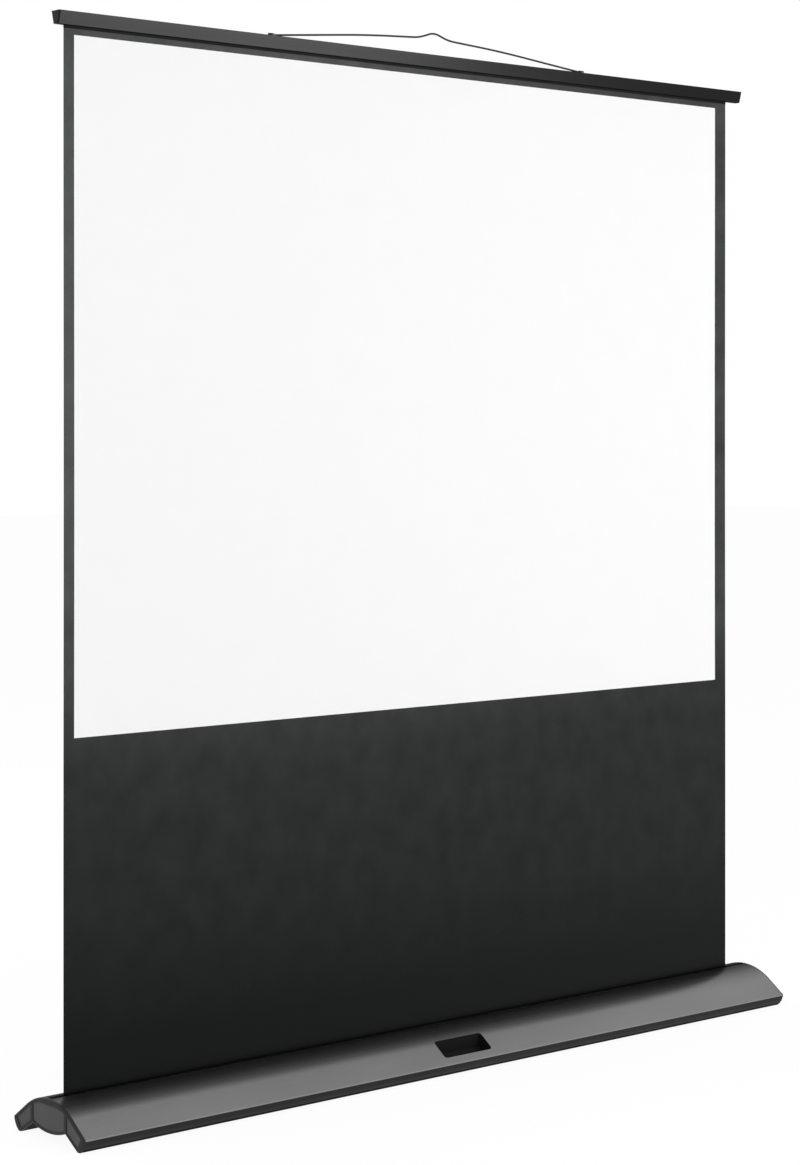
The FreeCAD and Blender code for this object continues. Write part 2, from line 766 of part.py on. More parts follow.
# Roller brackets: plates that stand in the chamber against the end caps, each with a hub.
def make_bracket(label, side):
    owner = new_body(label)
    plate = new_sketch(owner, "YZ_Plane", bracket_left if side < 0 else bracket_right)
    wide = derive(label + "_wide", "Made.web_y - Size.skin / 2 - Size.loose_gap")
    top = derive(label + "_top", "min(Made.port_z - Size.port_radius; %s) - Size.loose_gap"
                 % arch_under(wide, "Size.skin"))
    depth = "(Size.skin + Size.loose_gap)"
    draw(plate, [
        ("-" + wide, top),
        (wide, top),
        (wide, keel_over(wide, depth), "Made.keel_radius - " + depth),
        ("-" + wide, keel_over(wide, depth)),
    ])
    pad(owner, plate, "Size.bracket_thickness")
    hub = new_sketch(owner, "YZ_Plane", bracket_left if side < 0 else bracket_right + " - Size.bracket_hub_length")
    draw_circle(hub, roller_y, "Size.roller_height", "Size.bracket_hub_radius")
    pad(owner, hub, "Size.bracket_thickness + Size.bracket_hub_length")
    bore = new_sketch(owner, "YZ_Plane", bracket_left if side < 0 else bracket_right + " - Size.bracket_hub_length")
    draw_circle(bore, roller_y, "Size.roller_height", "Size.pin_radius")
    pocket(owner, bore, "Size.bracket_thickness + Size.bracket_hub_length", along=True)
    return keep(owner, label)


make_bracket("left_roller_bracket", -1)
make_bracket("right_roller_bracket", 1)

# The idler pin, the fixed spring shaft and the spring's anchor on it.
pin_end = derive("pin_end", "Made.tube_left + Size.plug_length")
pin_outline = [("0", "0"), ("Size.pin_radius", "0"), ("Size.pin_radius", "Made.pin_end - Made.bracket_left"),
               ("0", "Made.pin_end - Made.bracket_left")]
turned("idler_pin", pin_outline, "X", bracket_left, roller_y, "Size.roller_height")

shaft_left = derive("shaft_left", "Made.tube_right - Size.shaft_length")
shaft_total = derive("shaft_total", "Made.inner_half - Made.shaft_left")
anchor_radius = derive("anchor_radius", "Size.spring_radius - Size.spring_wire_radius - Size.loose_gap")
turned("spring_shaft", [
    ("0", "0"),
    (anchor_radius, "0"),
    (anchor_radius, "Size.spring_anchor_length"),
    ("Size.pin_radius", "Size.spring_anchor_length"),
    ("Size.pin_radius", shaft_total),
    ("0", shaft_total),
], "X", shaft_left, roller_y, "Size.roller_height")


# Torsion spring: one wire wound round the shaft inside the tube.
def make_spring():
    start = value(shaft_left) + SIZES["spring_anchor_length"] / 2
    radius = SIZES["spring_radius"]
    pitch = SIZES["spring_pitch"]
    helix = Part.makeHelix(pitch, pitch * SPRING_TURNS, radius)
    section = Part.Wire(Part.makeCircle(SIZES["spring_wire_radius"], Vector(radius, 0, 0), Vector(0, 1, 0)))
    coil = Part.Wire(helix.Edges).makePipeShell([section], True, True)
    print("spring: %d turns, gap between turns %.1f mm" % (SPRING_TURNS, pitch - 2 * SIZES["spring_wire_radius"]))
    item = doc.addObject("Part::Feature", "torsion_spring")
    item.Shape = coil
    item.Placement = FreeCAD.Placement(
        Vector(start, value(roller_y), SIZES["roller_height"]), Rotation(Vector(0, 1, 0), 90))
    return keep(item, "torsion_spring")


make_spring()

# Mast socket: a blind tube that passes through the top skin, with a flange that follows the arch.
socket_top = derive("socket_top", "Size.apex_height + Size.socket_rise")
solid_section = new_body("SectionTool")
section_sketch = new_sketch(solid_section, "YZ_Plane", "-Size.socket_flange_radius - Size.overrun")
draw(section_sketch, [
    ("-" + bend_y, bend_z, "Size.arch_radius"),
    (bend_y, bend_z),
    (bend_y, "0"),
    ("-" + bend_y, "0"),
])
pad(solid_section, section_sketch, "2 * (Size.socket_flange_radius + Size.overrun)")
flange_low = derive("flange_low", arch_under("Size.mast_y + Size.socket_flange_radius", "0") + " - Size.skin")
flange = rod("SocketFlange", "Size.socket_flange_radius", "Made.socket_top - Made.flange_low",
             "0", "Size.mast_y", flange_low)
flange_seated = cut("SocketFlangeSeated", flange, solid_section)
socket_floor = derive("socket_floor", "Size.mast_bottom - Size.socket_wall")
barrel = rod("SocketBarrel", socket_radius, "Made.socket_top - Made.socket_floor", "0", "Size.mast_y", socket_floor)
blank = fused("SocketBlank", flange_seated, barrel)
socket_bore = rod("SocketBore", "Size.lower_radius + Size.running_gap", "Made.socket_top", "0", "Size.mast_y",
                  "Size.mast_bottom")
screw_ways = [rod("SocketScrewWay", "Size.socket_screw_radius", "Made.socket_top",
                  side + "Size.socket_screw_spread / 2", "Size.mast_y", screw_floor) for side in ("-", "")]
keep(cut("mast_socket", blank, fused("SocketHollow", socket_bore, *screw_ways)), "mast_socket")

screws = []
for side in ("-", ""):
    across = side + "Size.socket_screw_spread / 2"
    head = rod("SocketScrewHead", "Size.socket_screw_head_radius", "Size.socket_screw_head_height",
               across, "Size.mast_y", "Made.socket_top")
    shank = rod("SocketScrewShank", "Size.socket_screw_radius", "Made.socket_top - Made.screw_floor",
                across, "Size.mast_y", screw_floor)
    screws.append(fused("SocketScrew", head, shank))
group("mast_socket_screws", screws)

# Telescopic mast. Each tube runs in the one below on a guide at its foot and in the bush
# of the lock collar above. The places are those with the screen fully up.
lower_top = derive("lower_top", "Size.mast_bottom + Size.section_length")
middle_bottom = derive("middle_bottom", "Made.lower_top - Size.section_overlap")
middle_top = derive("middle_top", "Made.middle_bottom + Size.section_length")
upper_bottom = derive("upper_bottom", "Made.middle_top - Size.section_overlap")
catch_bottom = derive("catch_bottom", "Size.bar_bottom + Size.catch_lift")
upper_top = derive("upper_top", "Made.catch_bottom - Size.seat_gap - Size.head_length")


def mast_tube(label, radius, bottom, top):
    length = "%s - (%s)" % (top, bottom)
    inner = radius + " - Size.mast_wall"
    turned(label, [(inner, "0"), (radius, "0"), (radius, length), (inner, length)], "Z",
           "0", "Size.mast_y", bottom)


mast_tube("mast_lower_tube", "Size.lower_radius", "Size.mast_bottom", lower_top)
mast_tube("mast_middle_tube", "Size.middle_radius", middle_bottom, middle_top)
mast_tube("mast_upper_tube", "Size.upper_radius", upper_bottom, upper_top)

plug_radius = "(Size.lower_radius - Size.mast_wall)"
turned("mast_foot_plug", [("0", "0"), (plug_radius, "0"), (plug_radius, "Size.foot_plug_length"),
                          ("0", "Size.foot_plug_length")], "Z", "0", "Size.mast_y", "Size.mast_bottom")


def guide(label, running_in, held_in, bottom):
    """A plug in a tube's foot whose flange runs in the next larger tube."""
    wide = "(%s - Size.mast_wall - Size.running_gap)" % running_in
    neck = "(%s - Size.mast_wall)" % held_in
    turned(label, [
        ("0", "-Size.guide_length / 2"),
        (wide, "-Size.guide_length / 2"),
        (wide, "0"),
        (neck, "0"),
        (neck, "Size.guide_length"),
        ("0", "Size.guide_length"),
    ], "Z", "0", "Size.mast_y", bottom)


guide("middle_guide", "Size.lower_radius", "Size.middle_radius", middle_bottom)
guide("upper_guide", "Size.middle_radius", "Size.upper_radius", upper_bottom)


# Twist-lock collars, each a fluted grip over the top of one tube and round the next.
def make_collar(label, below, above, top):
    owner = new_body(label)
    sketch = new_sketch(owner, "XZ_Plane")
    grip = "(%s + Size.collar_radius - Size.lower_radius)" % below
    loose = "(%s + Size.running_gap)" % below
    snug = "(%s + Size.running_gap)" % above
    draw(sketch, [
        (loose, "-Size.collar_cover"),
        (grip + " - Size.collar_lip / 2", "-Size.collar_cover"),
        (grip, "-Size.collar_cover + Size.collar_lip"),
        (grip, "Size.collar_length - Size.collar_cover - Size.collar_lip"),
        (grip + " - Size.collar_lip / 2", "Size.collar_length - Size.collar_cover"),
        (snug, "Size.collar_length - Size.collar_cover"),
        (snug, "Size.seat_gap"),
        (loose, "Size.seat_gap"),
    ])
    turn = owner.newObject("PartDesign::Revolution", "Revolution")
    turn.Profile = sketch
    turn.ReferenceAxis = (sketch, ["V_Axis"])
    turn.Angle = 360.0
    doc.recompute()
    flute = new_sketch(owner, "XY_Plane", "-Size.collar_cover + 2 * Size.collar_lip")
    draw_circle(flute, grip + " + Size.collar_flute_radius / 2", "0", "Size.collar_flute_radius")
    groove = pocket(owner, flute, "Size.collar_length - 4 * Size.collar_lip", along=True)
    ring = owner.newObject("PartDesign::PolarPattern", "Flutes")
    ring.Originals = [groove]
    ring.Axis = (flute, ["N_Axis"])
    ring.Angle = 360.0
    ring.Occurrences = COLLAR_FLUTES
    owner.Tip = ring
    bind(owner, Placement__Base__y="Size.mast_y", Placement__Base__z=top)
    doc.recompute()
    return keep(owner, label)


make_collar("lower_lock_collar", "Size.lower_radius", "Size.middle_radius", lower_top)
make_collar("upper_lock_collar", "Size.middle_radius", "Size.upper_radius", middle_top)

# Mast head: a plug in the upper tube, a shoulder, and a spigot that stands in the bar's catch.
neck = "(Size.upper_radius - Size.mast_wall)"
shoulder = "(Size.head_length + Size.head_spigot_length)"
turned("mast_head", [
    ("0", "-Size.head_plug_length"),
    (neck, "-Size.head_plug_length"),
    (neck, "0"),
    ("Size.head_radius", "0"),
    ("Size.head_radius", "Size.head_length"),
    ("Size.head_spigot_radius", "Size.head_length"),
    ("Size.head_spigot_radius", shoulder),
    ("0", shoulder),
], "Z", "0", "Size.mast_y", upper_top)

# Top bar: a hollow tapered extrusion, wider at the top, with a slot along its underside.
bar_left = derive("bar_left", "Size.bar_shift - Made.bar_half + Size.bar_cap_thickness")
bar_run = derive("bar_run", "2 * (Made.bar_half - Size.bar_cap_thickness)")
bar_top = derive("bar_top", "Size.bar_bottom + Size.bar_height")
bar_lean = derive("bar_lean", "(Size.bar_top_width - Size.bar_bottom_width) / 2 / Size.bar_height")


def bar_side(z, inset="0"):
    """Half-width of the bar at height z, drawn in by inset."""
    return "(Size.bar_bottom_width / 2 + (%s - Size.bar_bottom) * Made.bar_lean - %s)" % (z, inset)


def bar_outline(inset):
    low = "(Size.bar_bottom + %s)" % inset
    high = "(Made.bar_top - %s)" % inset
    return [
        ("-" + bar_side(high, inset), high),
        (bar_side(high, inset), high),
        (bar_side(low, inset), low),
        ("-" + bar_side(low, inset), low),
    ]


def make_top_bar():
    owner = new_body("top_bar")
    outside = new_sketch(owner, "YZ_Plane", bar_left)
    draw(outside, bar_outline("0"))
    pad(owner, outside, bar_run)
    hollow = new_sketch(owner, "YZ_Plane", bar_left)
    draw(hollow, bar_outline("Size.bar_wall"))
    pocket(owner, hollow, bar_run, along=True)
    slot = new_sketch(owner, "YZ_Plane", bar_left)
    draw(slot, [
        ("-Size.bar_slot / 2", "Size.bar_bottom + 2 * Size.bar_wall"),
        ("Size.bar_slot / 2", "Size.bar_bottom + 2 * Size.bar_wall"),
        ("Size.bar_slot / 2", "Size.bar_bottom - Size.bar_wall"),
        ("-Size.bar_slot / 2", "Size.bar_bottom - Size.bar_wall"),
    ])
    pocket(owner, slot, bar_run, along=True)
    holes = new_sketch(owner, "XY_Plane", bar_top)
    for end in ("-", ""):
        for side in ("-", ""):
            draw_circle(holes, "Size.bar_shift %s Size.lug_span / 2" % (end or "+"),
                        side + "Size.rivet_spread / 2", "Size.rivet_radius")
    pocket(owner, holes, "2 * Size.bar_wall")
    return keep(owner, "top_bar")


make_top_bar()


def make_bar_cap(label, side):
    """A moulded cap on one end of the bar, with a tongue inside it."""
    owner = new_body(label)
    end = "Size.bar_shift - Made.bar_half" if side < 0 else bar_left + " + " + bar_run
    plate = new_sketch(owner, "YZ_Plane", end)
    draw(plate, bar_outline("0"))
    pad(owner, plate, "Size.bar_cap_thickness")
    start = bar_left if side < 0 else "%s + %s - Size.bar_tongue" % (bar_left, bar_run)
    tongue = new_sketch(owner, "YZ_Plane", start)
    draw(tongue, bar_outline("(Size.bar_wall + Size.running_gap)"))
    pad(owner, tongue, "Size.bar_tongue")
    return keep(owner, label)


make_bar_cap("left_bar_cap", -1)
make_bar_cap("right_bar_cap", 1)

# Keder strip: the welt along the fabric's top edge. Its bead is trapped in the bar and its blade
# shows as a dark line under the bar.
bead_z = derive("bead_z", "Size.bar_bottom + Size.bar_wall + Size.keder_bead_radius")
blade_bottom = derive("blade_bottom", "Size.bar_bottom - Size.keder_drop")
blade_meet = derive("blade_meet", "Made.bead_z - sqrt(Size.keder_bead_radius^2 - Size.keder_blade^2 / 4)")
half_blade = "Size.keder_blade / 2"
prism("keder_strip", [[
    ("-" + half_blade, blade_meet, "Size.keder_bead_radius"),
    ("0", "Made.bead_z + Size.keder_bead_radius", "Size.keder_bead_radius"),
    (half_blade, blade_meet),
    (half_blade, blade_bottom),
    ("-" + half_blade, blade_bottom),
]], fabric_left, "2 * " + fabric_half)


# Fabric: the white image area, and the black masking that frames it and drops to the roller.
image_top = derive("image_top", "Size.bar_bottom - Size.top_border")
image_bottom = derive("image_bottom", "Made.image_top - Size.image_height")


def upright_sheet(label, outlines):
    """Thin sheet in the XZ plane, centred on Y = 0."""
    owner = new_body(label)
    sketch = new_sketch(owner, "XZ_Plane", "-Size.fabric_thickness / 2")
    for left, right, bottom, top in outlines:
        draw(sketch, [(left, top), (right, top), (right, bottom), (left, bottom)])
    pad(owner, sketch, "Size.fabric_thickness")
    return keep(owner, label)


image_left = "Size.image_shift - Size.image_width / 2"
image_right = "Size.image_shift + Size.image_width / 2"
upright_sheet("white_panel", [(image_left, image_right, image_bottom, image_top)])
upright_sheet("black_masking", [
    (fabric_left, fabric_right, "Size.roller_height", blade_bottom),
    (image_left, image_right, image_bottom, image_top),
])


# Bail lugs: small saddles riveted to the bar's top, in which the wire's ends turn.
def make_lug(label, side):
    owner = new_body(label)
    middle = "Size.bar_shift %s Size.lug_span / 2" % ("-" if side < 0 else "+")
    sketch = new_sketch(owner, "YZ_Plane", middle + " - Size.lug_length / 2")
    pivot = "(Made.bar_top + Size.bail_pivot_height)"
    round_radius = "(Size.bail_wire_radius + Size.running_gap + Size.lug_wall)"
    foot = "(Made.bar_top + Size.lug_foot)"
    half_foot = "Size.lug_foot_width / 2"
    draw(sketch, [
        ("-" + half_foot, foot),
        ("-" + round_radius, foot),
        ("-" + round_radius, pivot, round_radius),
        ("0", pivot + " + " + round_radius, round_radius),
        (round_radius, pivot),
        (round_radius, foot),
        (half_foot, foot),
        (half_foot, bar_top),
        ("-" + half_foot, bar_top),
    ])
    pad(owner, sketch, "Size.lug_length")
    bore = new_sketch(owner, "YZ_Plane", middle + " - Size.lug_length / 2")
    draw_circle(bore, "0", pivot, "Size.bail_wire_radius + Size.running_gap")
    pocket(owner, bore, "Size.lug_length", along=True)
    holes = new_sketch(owner, "XY_Plane", foot)
    for hand in ("-", ""):
        draw_circle(holes, middle, hand + "Size.rivet_spread / 2", "Size.rivet_radius")
    pocket(owner, holes, "2 * Size.lug_foot")
    return keep(owner, label)


make_lug("left_bail_lug", -1)
make_lug("right_bail_lug", 1)

rivets = []
for end in ("-", "+"):
    for side in ("-", ""):
        place = ("Size.bar_shift %s Size.lug_span / 2" % end, side + "Size.rivet_spread / 2")
        head = rod("RivetHead", "Size.rivet_head_radius", "Size.rivet_head_height",
                   *place, "Made.bar_top + Size.lug_foot")
        shank = rod("RivetShank", "Size.rivet_radius", "Size.lug_foot + Size.bar_wall",
                    *place, "Made.bar_top - Size.bar_wall")
        rivets.append(fused("LugRivet", head, shank))
group("bail_lug_rivets", rivets)


# Mast catch: a block on the back of the bar with a cup underneath for the mast's spigot, and two
# ears that are riveted to the bar's leaning back.
def make_catch():
    owner = new_body("mast_catch")
    low = catch_bottom
    high = "(Made.catch_bottom + Size.catch_height)"
    back = "(Size.mast_y + Size.catch_reach)"
    block = new_sketch(owner, "YZ_Plane", "-Size.catch_width / 2")
    draw(block, [
        (bar_side(high), high),
        (back + " - Size.catch_height / 4", high),
        (back, high + " - Size.catch_height / 4"),
        (back, low),
        (bar_side(low), low),
    ])
    pad(owner, block, "Size.catch_width")
    ears = new_sketch(owner, "YZ_Plane", "-Size.catch_ear_width / 2")
    slant = "Size.catch_ear_thickness * sqrt(1 + Made.bar_lean^2)"
    draw(ears, [
        (bar_side(high), high),
        (bar_side(high) + " + " + slant, high),
        (bar_side(low) + " + " + slant, low),
        (bar_side(low), low),
    ])
    pad(owner, ears, "Size.catch_ear_width")
    cup = new_sketch(owner, "XY_Plane", low)
    draw_circle(cup, "0", "Size.mast_y", "Size.head_spigot_radius + Size.seat_gap")
    pocket(owner, cup, "Size.catch_cup_depth", along=True)
    return keep(owner, "mast_catch")


# Each rivet stands square to the bar's leaning back face.
def catch_rivets(radius, length, start):
    middle = "(Made.catch_bottom + Size.catch_height / 2)"
    tilt = "-90 deg - atan(Made.bar_lean)"
    items = []
    for side in ("-", ""):
        items.append(rod("CatchRivet", radius, length, side + "Size.catch_rivet_spread / 2",
                         "%s + (%s) * cos(atan(Made.bar_lean))" % (bar_side(middle), start),
                         "%s - (%s) * sin(atan(Made.bar_lean))" % (middle, start), Vector(1, 0, 0), tilt))
    return items


make_catch()
shanks = catch_rivets("Size.rivet_radius", "Size.catch_ear_thickness + Size.bar_wall", "-Size.bar_wall")
heads = catch_rivets("Size.rivet_head_radius", "Size.rivet_head_height", "Size.catch_ear_thickness")
group("mast_catch_rivets", [fused("CatchRivetWhole", *pair) for pair in zip(heads, shanks)])
for label in ("mast_catch", "top_bar"):
    drilled = cut(label + "_drilled", parts[label], fused("RivetWays", *catch_rivets(
        "Size.rivet_radius", "Size.catch_ear_thickness + 2 * Size.bar_wall", "-2 * Size.bar_wall")))
    parts[label].Label = label + "_blank"
    keep(drilled, label)


# Wire bail: one steel wire, straight in the lugs, then rising in long gentle legs to a raised
# kink in the middle that drops over a hook.
def make_bail():
    def size(name):
        return SIZES[name]

    pivot = size("bail_pivot_height")
    route = [
        (size("lug_span") / 2 + size("bail_end_reach"), pivot),
        (size("lug_span") / 2 - size("bail_rise_reach"), pivot),
        (size("bail_knee_span") / 2, size("bail_knee_height")),
        (size("kink_span") / 2, size("kink_foot_height")),
        (size("kink_top_span") / 2, size("bail_height")),
    ]
    height = value(bar_top)
    route = [(-x, z) for x, z in route] + [(x, z) for x, z in reversed(route)]
    points = [Vector(size("bar_shift") + x, 0, height + z) for x, z in route]
    edges = []
    at = points[0]
    for before, here, after in zip(points, points[1:], points[2:]):
        come = (here - before).normalize()
        go = (after - here).normalize()
        turn = come.getAngle(go)
        at_end = before == points[0] or after == points[-1]
        share = size("end_bend_share") if at_end else size("bend_share")
        reach = share * min(here.distanceToPoint(before), here.distanceToPoint(after))
        radius = reach / math.tan(turn / 2)
        start = here - come * reach
        stop = here + go * reach
        away = (go - come).normalize()
        middle = here + away * (radius / math.cos(turn / 2) - radius)
        edges.append(Part.LineSegment(at, start).toShape())
        edges.append(Part.Arc(start, middle, stop).toShape())
        at = stop
    edges.append(Part.LineSegment(at, points[-1]).toShape())
    path = Part.Wire(edges)
    radius = size("bail_wire_radius")
    section = Part.Wire(Part.makeCircle(radius, points[0], Vector(1, 0, 0)))
    wire = path.makePipeShell([section], True, False)
    print("bail: %.0f mm of wire, volume %.4f of its section times its length"
          % (path.Length, wire.Volume / (math.pi * radius ** 2 * path.Length)))
    item = doc.addObject("Part::Feature", "wire_bail")
    item.Shape = wire
    return keep(item, "wire_bail")


make_bail()

# Caps pressed on the wire's ends outside the lugs.
pivot_z = derive("pivot_z", "Made.bar_top + Size.bail_pivot_height")
stops = []
for side in ("-", "+"):
    end = "Size.bar_shift %s (Size.lug_span / 2 + Size.bail_end_reach)" % side
    inner = end + " - Size.bail_end_length / 2"
    whole = rod("StopBlank", "Size.bail_end_radius", "Size.bail_end_length", inner, "0", pivot_z,
                Vector(0, 1, 0), "90")
    way = rod("StopBore", "Size.bail_wire_radius", "Size.bail_end_length / 2",
              inner if side == "+" else end, "0", pivot_z, Vector(0, 1, 0), "90")
    stops.append(cut("Stop", whole, way))
group("bail_end_stops", stops)

doc.recompute()

# Nothing is written unless every object and every piece is sound.
faults = [item.Label for item in doc.Objects if "Invalid" in item.State or "Error" in item.State]
for label, piece in parts.items():
    shape = piece.Shape
    if shape.isNull() or not shape.isValid() or not shape.Solids:
        faults.append(label)
if faults:
    raise SystemExit("unsound: " + ", ".join(faults))

os.makedirs("parts", exist_ok=True)
for label, piece in parts.items():
    piece.Shape.exportStep(os.path.join("parts", label + ".step"))
print("%d pieces written" % len(parts))
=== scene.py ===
import bpy
import bmesh
import math
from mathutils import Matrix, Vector


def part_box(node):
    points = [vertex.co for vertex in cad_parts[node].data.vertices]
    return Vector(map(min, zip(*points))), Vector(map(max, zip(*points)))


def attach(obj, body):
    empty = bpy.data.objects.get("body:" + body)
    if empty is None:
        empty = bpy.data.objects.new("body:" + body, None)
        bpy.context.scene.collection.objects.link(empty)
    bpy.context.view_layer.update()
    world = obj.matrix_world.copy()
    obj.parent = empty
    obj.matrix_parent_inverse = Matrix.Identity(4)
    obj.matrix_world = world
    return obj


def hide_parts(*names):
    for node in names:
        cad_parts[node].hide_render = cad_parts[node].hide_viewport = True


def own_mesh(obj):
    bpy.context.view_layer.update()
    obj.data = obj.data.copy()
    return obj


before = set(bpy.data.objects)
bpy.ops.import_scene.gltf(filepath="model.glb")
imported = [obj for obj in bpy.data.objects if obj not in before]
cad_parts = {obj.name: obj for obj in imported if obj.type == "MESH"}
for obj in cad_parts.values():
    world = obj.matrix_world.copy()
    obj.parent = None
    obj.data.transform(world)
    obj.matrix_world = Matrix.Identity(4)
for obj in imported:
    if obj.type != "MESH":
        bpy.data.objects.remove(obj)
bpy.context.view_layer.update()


# Studio: a white floor that keeps a soft shadow, a white room that metal can mirror, three
# large soft lamps and the camera, low and to the left of the screen, as in the photograph.
def new_object(name, data):
    """A new object in the scene."""
    made = bpy.data.objects.new(name, data)
    bpy.context.scene.collection.objects.link(made)
    return made


camera_data = bpy.data.cameras.new("camera")
camera_data.lens = 81.52
camera_data.sensor_width = 36.0
camera_data.shift_y = -0.1346
camera_data.clip_end = 60.0
camera = new_object("camera", camera_data)
camera.location = (-3.7333, -4.2586, 1.3648)
camera.rotation_euler = (math.radians(90), 0, math.radians(-40.465))
bpy.context.scene.camera = camera
bpy.context.scene.view_settings.view_transform = "Standard"


def tree_of(owner):
    """Empty node tree of a material or world, ready for new nodes."""
    owner.use_nodes = True
    owner.node_tree.nodes.clear()
    return owner.node_tree


def node(tree, kind, **settings):
    """One new node; settings name its properties, or its inputs by number as in_0."""
    made = tree.nodes.new(kind)
    for name, value in settings.items():
        if name.startswith("in_"):
            made.inputs[int(name[3:])].default_value = value
        else:
            setattr(made, name, value)
    return made


def seen_directly(tree):
    """1 for what the camera, a reflection or clear glass shows, 0 for the light itself."""
    path = node(tree, "ShaderNodeLightPath")
    either = node(tree, "ShaderNodeMath", operation="MAXIMUM")
    either_or = node(tree, "ShaderNodeMath", operation="MAXIMUM")
    tree.links.new(path.outputs["Is Camera Ray"], either.inputs[0])
    tree.links.new(path.outputs["Is Glossy Ray"], either.inputs[1])
    tree.links.new(either.outputs[0], either_or.inputs[0])
    tree.links.new(path.outputs["Is Transmission Ray"], either_or.inputs[1])
    return either_or.outputs[0]


room_light = 0.63
world = bpy.data.worlds.new("room")
bpy.context.scene.world = world
tree = tree_of(world)
light = node(tree, "ShaderNodeBackground", in_0=(1, 1, 1, 1), in_1=room_light)
shown = node(tree, "ShaderNodeBackground", in_0=(1, 1, 1, 1), in_1=1.0)
choice = node(tree, "ShaderNodeMixShader")
tree.links.new(seen_directly(tree), choice.inputs[0])
tree.links.new(light.outputs[0], choice.inputs[1])
tree.links.new(shown.outputs[0], choice.inputs[2])
tree.links.new(choice.outputs[0], node(tree, "ShaderNodeOutputWorld").inputs[0])

floor_reach = 30
floor_grey = 0.88
floor_glow = 1.04
glow_share = 0.88
floor_mesh = bpy.data.meshes.new("floor")
corners = [(x * floor_reach, y * floor_reach, 0) for x, y in ((-1, -1), (1, -1), (1, 1), (-1, 1))]
floor_mesh.from_pydata(corners, [], [(0, 1, 2, 3)])
floor = new_object("floor", floor_mesh)
floor_finish = bpy.data.materials.new("white floor")
tree = tree_of(floor_finish)
matt = node(tree, "ShaderNodeBsdfDiffuse", in_0=(floor_grey, floor_grey, floor_grey, 1))
glow = node(tree, "ShaderNodeEmission", in_0=(1, 1, 1, 1), in_1=floor_glow)
blend = node(tree, "ShaderNodeMixShader")
share = node(tree, "ShaderNodeMath", operation="MULTIPLY", in_1=glow_share)
tree.links.new(seen_directly(tree), share.inputs[0])
tree.links.new(share.outputs[0], blend.inputs[0])
tree.links.new(matt.outputs[0], blend.inputs[1])
tree.links.new(glow.outputs[0], blend.inputs[2])
tree.links.new(blend.outputs[0], node(tree, "ShaderNodeOutputMaterial").inputs[0])
floor_mesh.materials.append(floor_finish)


def soft_lamp(name, place, target, size, watts):
    """A square soft box that points at a place."""
    data = bpy.data.lights.new(name, "AREA")
    data.size = size
    data.energy = watts
    lamp = new_object(name, data)
    lamp.location = place
    lamp.rotation_euler = (Vector(target) - Vector(place)).to_track_quat("-Z", "Y").to_euler()


soft_lamp("front lamp", (2.2, -4.2, 1.75), (-3.2, 0.0, 1.2), 2.4, 92)
soft_lamp("left lamp", (-4.6, -2.0, 3.2), (0.0, 0.0, 0.9), 2.0, 49)
soft_lamp("back lamp", (-1.2, 4.8, 3.4), (0.0, 0.0, 0.8), 2.4, 60)


# Cassette shell: one aluminium extrusion, grey anodised, with faint lines along its length
# from the die and a soft satin gloss. Its sawn edges are broken by a hair, and the top's long
# facets take the arch's own normals, so that it shades as one curve.
def finish(name, colour, roughness, metallic=0.0, **sockets):
    """A new material: its tree, its shader and itself. Sockets are named with underscores."""
    material = bpy.data.materials.new(name)
    tree = tree_of(material)
    shader = node(tree, "ShaderNodeBsdfPrincipled")
    shader.inputs["Base Color"].default_value = (*colour, 1)
    shader.inputs["Roughness"].default_value = roughness
    shader.inputs["Metallic"].default_value = metallic
    for socket, value in sockets.items():
        shader.inputs[socket.replace("_", " ")].default_value = value
    tree.links.new(shader.outputs[0], node(tree, "ShaderNodeOutputMaterial").inputs[0])
    return material, tree, shader


def speckle(tree, stretch, detail=2.0):
    """Noise in the piece's own space; stretch gives how many grains lie in a metre of each axis."""
    place = node(tree, "ShaderNodeTexCoord")
    scaled = node(tree, "ShaderNodeMapping")
    scaled.inputs["Scale"].default_value = stretch
    noise = node(tree, "ShaderNodeTexNoise", in_2=1.0, in_3=detail)
    tree.links.new(place.outputs["Object"], scaled.inputs[0])
    tree.links.new(scaled.outputs[0], noise.inputs["Vector"])
    return noise.outputs[0]


noise_low, noise_high = 0.3, 0.7


def shaded(colour, share):
    """A colour made lighter or darker by a share."""
    return tuple(share * part for part in colour)


def vary(tree, shader, socket, source, low, high):
    """Let a pattern move a socket between two values or colours."""
    if isinstance(low, tuple):
        ramp = node(tree, "ShaderNodeValToRGB")
        for stop, place, colour in zip(ramp.color_ramp.elements, (noise_low, noise_high), (low, high)):
            stop.position = place
            stop.color = (*colour, 1)
        tree.links.new(source, ramp.inputs[0])
        tree.links.new(ramp.outputs[0], shader.inputs[socket])
        return
    span = node(tree, "ShaderNodeMapRange", in_1=noise_low, in_2=noise_high, in_3=low, in_4=high)
    tree.links.new(source, span.inputs[0])
    tree.links.new(span.outputs[0], shader.inputs[socket])


def relief(tree, shader, source, depth):
    """Let a pattern stand out of the surface by a depth in metres."""
    bump = node(tree, "ShaderNodeBump")
    bump.inputs["Strength"].default_value = 1.0
    bump.inputs["Distance"].default_value = depth
    tree.links.new(source, bump.inputs["Height"])
    tree.links.new(bump.outputs[0], shader.inputs["Normal"])


def anodised(name, colour, roughness):
    """Satin anodised aluminium, drawn along X, with next to no bright rim at a low angle."""
    material, tree, shader = finish(name, colour, roughness, metallic=1.0,
                                    Specular_Tint=(0.05, 0.05, 0.05, 1))
    lines = speckle(tree, (1.5, 900, 900), 3.0)
    clouds = speckle(tree, (3, 9, 9), 2.0)
    vary(tree, shader, "Base Color", clouds, shaded(colour, 0.95), shaded(colour, 1.05))
    vary(tree, shader, "Roughness", lines, roughness - 0.03, roughness + 0.04)
    relief(tree, shader, lines, 0.000002)
    return material


